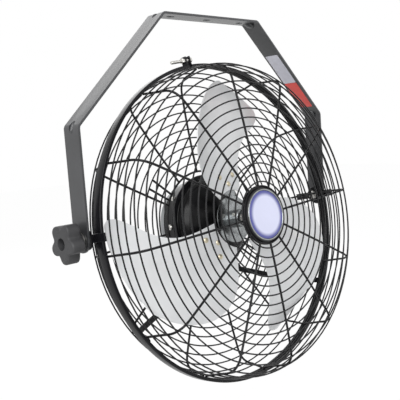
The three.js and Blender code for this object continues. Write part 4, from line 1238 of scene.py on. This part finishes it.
class FAN_OT_spider(bpy.types.Operator):
    """Makes the plated spider, its hub, set screw, shaft and the rivets"""
    bl_idname = "fan.spider"
    bl_label = "Spider and Rivets"

    def execute(self, context):
        scene = context.scene
        blade = scene.fan_blade
        place = fan_place(scene)
        gap = blade.sheet + 0.00055
        sheet = 0.0025
        mesh = bmesh.new()
        for i in range(blade.count):
            self.arm(mesh, blade, gap, sheet, Matrix.Rotation(-i * 2 * pi / blade.count, 4, "Y"))
        hub_place = Matrix.Translation((0, blade.hub, 0))
        plate = [(0.0135, gap), (0.034, gap), (0.0366, gap + 0.0003), (0.037, gap + 0.0011),
                 (0.0366, gap + 0.0022), (0.034, gap + sheet), (0.0135, gap + sheet)]
        add_turned(mesh, plate, 96, hub_place, True)
        bore = blade.shaft + 0.0003
        hub = [(bore, -0.0164), (bore + 0.0006, -0.017), (0.0124, -0.017), (0.0138, -0.0158), (0.014, -0.014),
               (0.014, 0.0068), (0.013, 0.008), (bore + 0.0006, 0.008), (bore, 0.0074)]
        add_turned(mesh, hub, 64, hub_place, True)
        piece(mesh, "plated_spider", "rotor", "bright_metal", ["blade_spider"], place=place)
        self.set_screw(blade, place)
        self.shaft(scene, blade, place)
        aside = degrees(blade.rivet_angle)
        rivets = ((blade.rivet_outer, -aside), (blade.rivet_inner, 0), (blade.rivet_outer, aside))
        count = 0
        for i in range(blade.count):
            spin = Matrix.Rotation(-i * 2 * pi / blade.count, 4, "Y")
            for j, (radius, angle) in enumerate(rivets):
                frame_here = place @ spin @ blade_frame(blade, radius, angle)
                self.rivet(f"domed_rivet_{i + 1}_{j + 1}", frame_here, gap + sheet,
                           [f"blade_rivet_{i + 1}_{j + 1}"])
                count += 1
        if count != 9:
            raise RuntimeError("each blade has three rivets")
        return {"FINISHED"}

    @staticmethod
    def arm(mesh, blade, gap, sheet, spin):
        """A pressed arm that follows the back of the blade."""
        before = set(mesh.verts)
        bmesh.ops.create_grid(mesh, x_segments=16, y_segments=20, size=1)
        verts = [v for v in mesh.verts if v not in before]
        for vert in verts:
            across, share = vert.co.x, (vert.co.y + 1) / 2
            radius = 0.029 + 0.055 * share
            half = 0.0228 - 0.24 * (0.084 - radius)
            trim = sqrt(max(0.0, 1 - (max(0.0, share - 0.86) / 0.14) ** 2 * 0.35))
            angle = degrees(asin(half / radius)) * across * trim
            depth = blade_spot(blade, max(blade.root, radius), angle).y - blade.hub
            turned_angle = blade.first + radians(angle)
            vert.co = (radius * cos(turned_angle), blade.hub + gap + depth * smooth(0.031, 0.045, radius),
                       radius * sin(turned_angle))
        new = thicken(mesh, verts, Vector((0, -1, 0)), sheet, 0.0006)
        bmesh.ops.transform(mesh, matrix=spin, verts=new)

    @staticmethod
    def set_screw(blade, place):
        """A socket set screw in the hub."""
        angle = radians(150)
        base = Vector((0, blade.hub - 0.00935, 0))
        out = base + Vector((cos(angle), 0, sin(angle)))
        mesh = bmesh.new()
        frame_here = place @ along(base, out)
        low, high = blade.shaft + 0.0004, 0.0153
        add_turned(mesh, [(0, low), (0.0027, low), (0.0029, low + 0.0004), (0.0029, high - 0.0004),
                          (0.0026, high), (0.0015, high), (0.0014, high - 0.002), (0, high - 0.002)],
                   24, frame_here)
        piece(mesh, "socket_set_screw", "rotor", "zinc_steel", ["hub_set_screw"])

    @staticmethod
    def shaft(scene, blade, place):
        """The motor shaft with a turned down nose."""
        mesh = bmesh.new()
        back = scene.fan_motor.back - 0.0038
        radius = blade.shaft
        nose = blade.hub - 0.0158
        add_turned(mesh, [(0, nose), (radius - 0.0009, nose), (radius - 0.00005, nose + 0.0009),
                          (radius - 0.00005, back - 0.0006), (radius - 0.0006, back), (0, back)], 48, place)
        piece(mesh, "ground_shaft", "rotor", "zinc_steel", ["motor_shaft"])

    @staticmethod
    def rivet(name, place, depth, nodes):
        """A domed rivet through the blade and its arm."""
        head = 0.00045
        tail = -(depth + 0.0008)
        profile = [(0, head + 0.0018)]
        profile += [(0.0042 * sin(radians(a)), head + 0.0018 * cos(radians(a))) for a in (25, 45, 62, 78, 90)]
        profile += [(0.0023, head - 0.0002), (0.0023, tail), (0.0035, tail), (0.0034, tail - 0.0005),
                    (0.0026, tail - 0.0011), (0, tail - 0.0012)]
        mesh = bmesh.new()
        add_turned(mesh, profile, 28, place)
        piece(mesh, name, "rotor", "rivet_aluminium", nodes)


# ---------------------------------------------------------------- motor
class FAN_OT_motor(bpy.types.Operator):
    """Makes the motor's bells, case, collar, straps and screws"""
    bl_idname = "fan.motor"
    bl_label = "Motor"

    def execute(self, context):
        scene = context.scene
        motor, cage = scene.fan_motor, scene.fan_cage
        place = fan_place(scene)
        radius, front, seam = motor.radius, motor.front, motor.seam
        rear, back = motor.rear_seam, motor.back
        bell = [(0.0089, front + 0.003), (0.0089, front + 0.0004), (0.0094, front), (0.0255, front),
                (0.0268, front + 0.0006), (0.030, front + 0.0026)]
        bell += [(0.058, front + 0.0104), (0.0635, front + 0.0134), (0.0682, front + 0.0182),
                 (0.0707, front + 0.0225), (radius - 0.0003, front + 0.0265),
                 (radius - 0.0003, seam - 0.0004), (radius - 0.0012, seam),
                 (radius - 0.003, seam), (radius - 0.003, front + 0.027),
                 (0.056, front + 0.0137), (0.0203, front + 0.005), (0.0203, front + 0.0132),
                 (0.0163, front + 0.0132), (0.0163, front + 0.003)]
        self.turn_piece(bell, "front_motor_bell", "motor_black", ["motor_front_bell"], place, True)
        case = [(radius - 0.002, seam + 0.0003), (radius - 0.0005, seam + 0.0003), (radius, seam + 0.0008),
                (radius, rear - 0.0008), (radius - 0.0005, rear - 0.0003), (radius - 0.002, rear - 0.0003)]
        self.turn_piece(case, "rolled_motor_case", "motor_black", ["motor_shell"], place, True)
        end = [(0, back), (0.012, back), (0.014, back - 0.0008), (0.022, back - 0.0008), (0.024, back),
               (0.046, back), (0.052, back - 0.0006), (0.0605, back - 0.0035), (0.0662, back - 0.0075),
               (0.0695, back - 0.0115), (radius - 0.0003, back - 0.0165), (radius - 0.0003, rear + 0.0008),
               (radius - 0.001, rear), (radius - 0.003, rear), (radius - 0.003, back - 0.016),
               (0.048, back - 0.004), (0.0203, back - 0.004), (0.0203, back - 0.0132),
               (0.0163, back - 0.0132), (0.0163, back - 0.003), (0, back - 0.003)]
        self.turn_piece(end, "rear_motor_bell", "motor_silver", ["motor_rear_bell"], place, False)
        self.collar(motor, cage, place)
        for node in ("motor_stator", "motor_rotor_core"):
            self.dress(node, "core_steel")
        for node in ("front_bearing", "rear_bearing"):
            self.dress(node, "zinc_steel")
        return {"FINISHED"}

    @staticmethod
    def dress(node, material):
        """Gives a part that the case hides its finish."""
        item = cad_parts[node]
        item.data.materials.clear()
        item.data.materials.append(finish(material))

    @staticmethod
    def turn_piece(profile, name, material, nodes, place, closed):
        mesh = bmesh.new()
        add_turned(mesh, profile, 96, None, closed)
        piece(mesh, name, "head", material, nodes, place=place)

    def collar(self, motor, cage, place):
        """The collar round the case, its two straps and four screws."""
        inner = motor.radius + 0.0004
        outer = inner + 0.003
        front = motor.seam + 0.0025
        mesh = bmesh.new()
        profile = [(inner, front), (motor.collar - 0.0005, front), (motor.collar, front + 0.0005),
                   (motor.collar, front + 0.0025), (motor.collar - 0.0005, front + 0.003),
                   (outer + 0.002, front + 0.003), (outer + 0.0004, front + 0.0036), (outer, front + 0.005),
                   (outer, front + 0.0185), (outer - 0.0005, front + 0.019), (inner + 0.0005, front + 0.019),
                   (inner, front + 0.0185)]
        add_turned(mesh, profile, 96, None, True)
        _, _, _, rear = cage_outlines(cage)
        path = []
        for i in range(41):
            point, out = rear.at(rear.length * (1 - i / 40))
            point -= out * (cage.radial + 0.00005)
            path.append(Vector((sqrt(point.x ** 2 - motor.strap_low ** 2), point.y)))
        path.append(Vector((sqrt((motor.collar - 0.003) ** 2 - motor.strap_low ** 2), path[-1].y)))
        self.strap(mesh, path, motor.strap_low, Matrix.Rotation(-pi - motor.strap_fall, 4, "Y"))
        self.strap(mesh, path, -motor.strap_low, Matrix.Rotation(motor.strap_fall, 4, "Y"))
        piece(mesh, "collar_and_straps", "head", "black_steel", ["motor_mount"], place=place)
        for i, angle in enumerate((141, 177, 321, 357)):
            self.screw(i + 1, angle, outer, front + 0.0127, place)

    @staticmethod
    def strap(mesh, path, aside, lean):
        """A flat strap along the inside of the rear guard, to one side of the axis."""
        verts = [mesh.verts.new((p.x, p.y, aside - 0.0044)) for p in path]
        edges = [mesh.edges.new(pair) for pair in zip(verts, verts[1:])]
        grown = bmesh.ops.extrude_edge_only(mesh, edges=edges)["geom"]
        other = [g for g in grown if isinstance(g, bmesh.types.BMVert)]
        bmesh.ops.translate(mesh, vec=(0, 0, 0.0088), verts=other)
        new = thicken(mesh, verts + other, Vector((0, 1, 0)), 0.0028, 0.0005)
        bmesh.ops.transform(mesh, matrix=lean, verts=new)

    @staticmethod
    def screw(number, angle, outer, depth, place):
        """A slotted pan head screw through the collar."""
        turn_to = Matrix.Rotation(-radians(angle), 4, "Y") @ Matrix.Translation((0, depth, 0))
        axis = place @ turn_to @ Matrix.Rotation(-pi / 2, 4, "Z")
        base = outer + 0.0003
        mesh = bmesh.new()
        profile = [(0, base + 0.0029), (0.002, base + 0.0028), (0.0034, base + 0.0022),
                   (0.0043, base + 0.0011), (0.0045, base), (0.0021, base),
                   (0.0021, outer - 0.0053), (0, outer - 0.0053)]
        add_turned(mesh, profile, 32, axis)
        item = piece(mesh, f"pan_head_screw_{number}", "head", "zinc_steel", [f"motor_screw_{number}"])
        slot = bmesh.new()
        add_box(slot, (0.012, 0.002, 0.0011), (0, base + 0.0031, 0),
                axis @ Matrix.Rotation(0.6 + number, 4, "Y"))
        carve(item, [slot])


class FAN_OT_switch(bpy.types.Operator):
    """Moulds the switch box, its dial and the cord gland"""
    bl_idname = "fan.switch"
    bl_label = "Speed Switch"

    def execute(self, context):
        scene = context.scene
        place = fan_place(scene)
        front = scene.fan_motor.back + 0.0003
        back = front + 0.024
        mesh = bmesh.new()
        add_box(mesh, (0.0518, 0.0238, 0.0358), (0, (front + back) / 2, 0), place, 0.0026, 4)
        box = piece(mesh, "moulded_switch_box", "head", "black_plastic", ["switch_box"])
        bore = bmesh.new()
        add_prism(bore, 32, 0.0034, back - 0.006, back + 0.005, place)
        carve(box, [bore])
        self.dial(place, back)
        self.gland(place, (front + back) / 2)
        return {"FINISHED"}

    @staticmethod
    def dial(place, back):
        """A ribbed dial with a pointer bar."""
        start = back + 0.0023
        mesh = bmesh.new()
        bmesh.ops.create_cone(mesh, cap_ends=True, segments=144, radius1=1, radius2=0.94, depth=0.0108)
        for vert in mesh.verts:
            angle = atan2(vert.co.y, vert.co.x)
            radius = (0.0122 + 0.00035 * cos(24 * angle)) * hypot(vert.co.x, vert.co.y)
            vert.co = (radius * cos(angle), radius * sin(angle), vert.co.z + 0.0054)
        rims = [e for e in mesh.edges if all(v.co.z > 0.01 for v in e.verts)]
        bmesh.ops.bevel(mesh, geom=rims, offset=0.0012, offset_type="OFFSET", segments=4, profile=0.5,
                        affect="EDGES", clamp_overlap=True, material=-1)
        bmesh.ops.transform(mesh, verts=mesh.verts, matrix=place @ Matrix.Translation((0, start, 0))
                            @ Matrix.Rotation(-pi / 2, 4, "X"))
        add_box(mesh, (0.0046, 0.0032, 0.0205), (0, start + 0.0122, 0), place, 0.0011, 3)
        add_prism(mesh, 24, 0.0029, back - 0.0048, start + 0.001, place)
        piece(mesh, "ribbed_dial", "speed_dial", "black_plastic", ["speed_knob"])

    @staticmethod
    def gland(place, depth):
        """A cord gland: a hexagon, a dome nut and an open rubber throat."""
        down = place @ Matrix.Translation((0, depth, -0.0183)) @ Matrix.Rotation(-pi / 2, 4, "X")
        mesh = bmesh.new()
        add_hex(mesh, 0.0119, 0.0, 0.0040, down)
        add_turned(mesh, [(0.0031, 0.0032), (0.0048, 0.0036), (0.0049, 0.0078), (0.0045, 0.0102),
                          (0.0038, 0.0118), (0.0031, 0.0119), (0.0027, 0.0112), (0.0027, 0.0042)],
                   40, down, True)
        piece(mesh, "cord_gland_nut", "head", "black_plastic", ["cord_gland"])


# ---------------------------------------------------------------- stage
class FAN_OT_stage(bpy.types.Operator):
    """Sets the camera, the soft lamps and the pale floor"""
    bl_idname = "fan.stage"
    bl_label = "Stage"

    def execute(self, context):
        scene = context.scene
        stage = scene.fan_stage
        scene.view_settings.view_transform = "Standard"
        self.camera(scene, stage)
        target = Vector((0, 0, -stage.middle))
        self.lamp("key_lamp", (-1.5, -1.3, 0.8), target, 1.6, stage.key)
        self.lamp("fill_lamp", (1.7, -1.2, 0.1), target, 1.8, stage.fill)
        self.lamp("back_lamp", (0.6, 1.7, 0.8), target, 1.5, stage.back)
        self.floor(stage)
        self.world(scene, stage)
        return {"FINISHED"}

    @staticmethod
    def camera(scene, stage):
        heading, dip, roll = stage.heading, stage.dip, stage.roll
        forward = Vector((sin(heading) * cos(dip), cos(heading) * cos(dip), -sin(dip)))
        right = Vector((cos(heading), -sin(heading), 0))
        up = right.cross(forward)
        across = cos(roll) * right + sin(roll) * up
        upright = -sin(roll) * right + cos(roll) * up
        data = bpy.data.cameras.new("photo_camera")
        data.sensor_fit = "HORIZONTAL"
        data.sensor_width = 36
        data.lens = stage.lens
        data.clip_start = 0.01
        item = bpy.data.objects.new("photo_camera", data)
        turn_to = Matrix((across, upright, -forward)).transposed().to_4x4()
        item.matrix_world = Matrix.Translation(stage.camera) @ turn_to
        scene.collection.objects.link(item)
        scene.camera = item

    @staticmethod
    def lamp(name, place, target, width, power):
        data = bpy.data.lights.new(name, "AREA")
        data.shape = "SQUARE"
        data.size = width
        data.energy = power
        item = bpy.data.objects.new(name, data)
        item.location = place
        item.rotation_euler = (target - Vector(place)).to_track_quat("-Z", "Y").to_euler()
        bpy.context.scene.collection.objects.link(item)

    @staticmethod
    def floor(stage):
        mesh = bmesh.new()
        bmesh.ops.create_grid(mesh, x_segments=1, y_segments=1, size=6,
                              matrix=Matrix.Translation((0, 0, -stage.floor)))
        data = bpy.data.meshes.new("pale_floor")
        mesh.to_mesh(data)
        mesh.free()
        item = bpy.data.objects.new("pale_floor", data)
        bpy.context.scene.collection.objects.link(item)
        look = Finish("floor_paper")
        look.set("Base Color", look.mix(look.noise(3, 3).band(0.3, 0.7), (0.9, 0.9, 0.9), (0.93, 0.93, 0.93)))
        look.set("Roughness", 0.9)
        glow = look.node("ShaderNodeEmission", {}, {"Strength": 1.035})
        paper = look.node("ShaderNodeMixShader", {},
                          {0: look.seen() * 0.92, 1: Value(look, look.shader.outputs[0]), 2: glow})
        look.feed(look.tree.nodes["Material Output"].inputs["Surface"], paper)
        data.materials.append(look.material)

    @staticmethod
    def world(scene, stage):
        """Soft grey light all round; the camera and bright metal see white."""
        world = bpy.data.worlds.new("studio")
        world.use_nodes = True
        nodes = Nodes(world.node_tree)
        background = world.node_tree.nodes["Background"]
        strength = nodes.node("ShaderNodeMix", {"data_type": "FLOAT"},
                              {"Factor_Float": nodes.seen(), "A_Float": stage.ambient, "B_Float": 1.0},
                              "Result_Float")
        nodes.feed(background.inputs["Strength"], strength)
        nodes.feed(background.inputs["Color"], (1, 1, 1))
        scene.world = world


class FAN_PT_sidebar(bpy.types.Panel):
    """Sizes, colours and the steps that build the fan"""
    bl_idname = "FAN_PT_sidebar"
    bl_label = "Wall Mounted Fan"
    bl_space_type = "VIEW_3D"
    bl_region_type = "UI"
    bl_category = "Fan"

    def draw(self, context):
        layout = self.layout
        for step in STEPS:
            layout.operator(step.bl_idname)
        for attribute, group in GROUPS:
            box = layout.box()
            box.label(text=group.__name__)
            for field in group.__annotations__:
                box.prop(getattr(context.scene, attribute), field)


STEPS = (FAN_OT_stage, FAN_OT_yoke, FAN_OT_labels, FAN_OT_pivots, FAN_OT_star_knob, FAN_OT_guards,
         FAN_OT_band, FAN_OT_badge, FAN_OT_blades, FAN_OT_spider, FAN_OT_motor, FAN_OT_switch)


def register():
    for attribute, group in GROUPS:
        bpy.utils.register_class(group)
        setattr(bpy.types.Scene, attribute, PointerProperty(type=group))
    for item in (*STEPS, FAN_PT_sidebar):
        bpy.utils.register_class(item)


def unregister():
    for item in reversed((*STEPS, FAN_PT_sidebar)):
        bpy.utils.unregister_class(item)
    for attribute, group in reversed(GROUPS):
        delattr(bpy.types.Scene, attribute)
        bpy.utils.unregister_class(group)


def main():
    register()
    for step in STEPS:
        getattr(bpy.ops.fan, step.bl_idname.split(".")[1])()


if __name__ == "__main__":
    main()
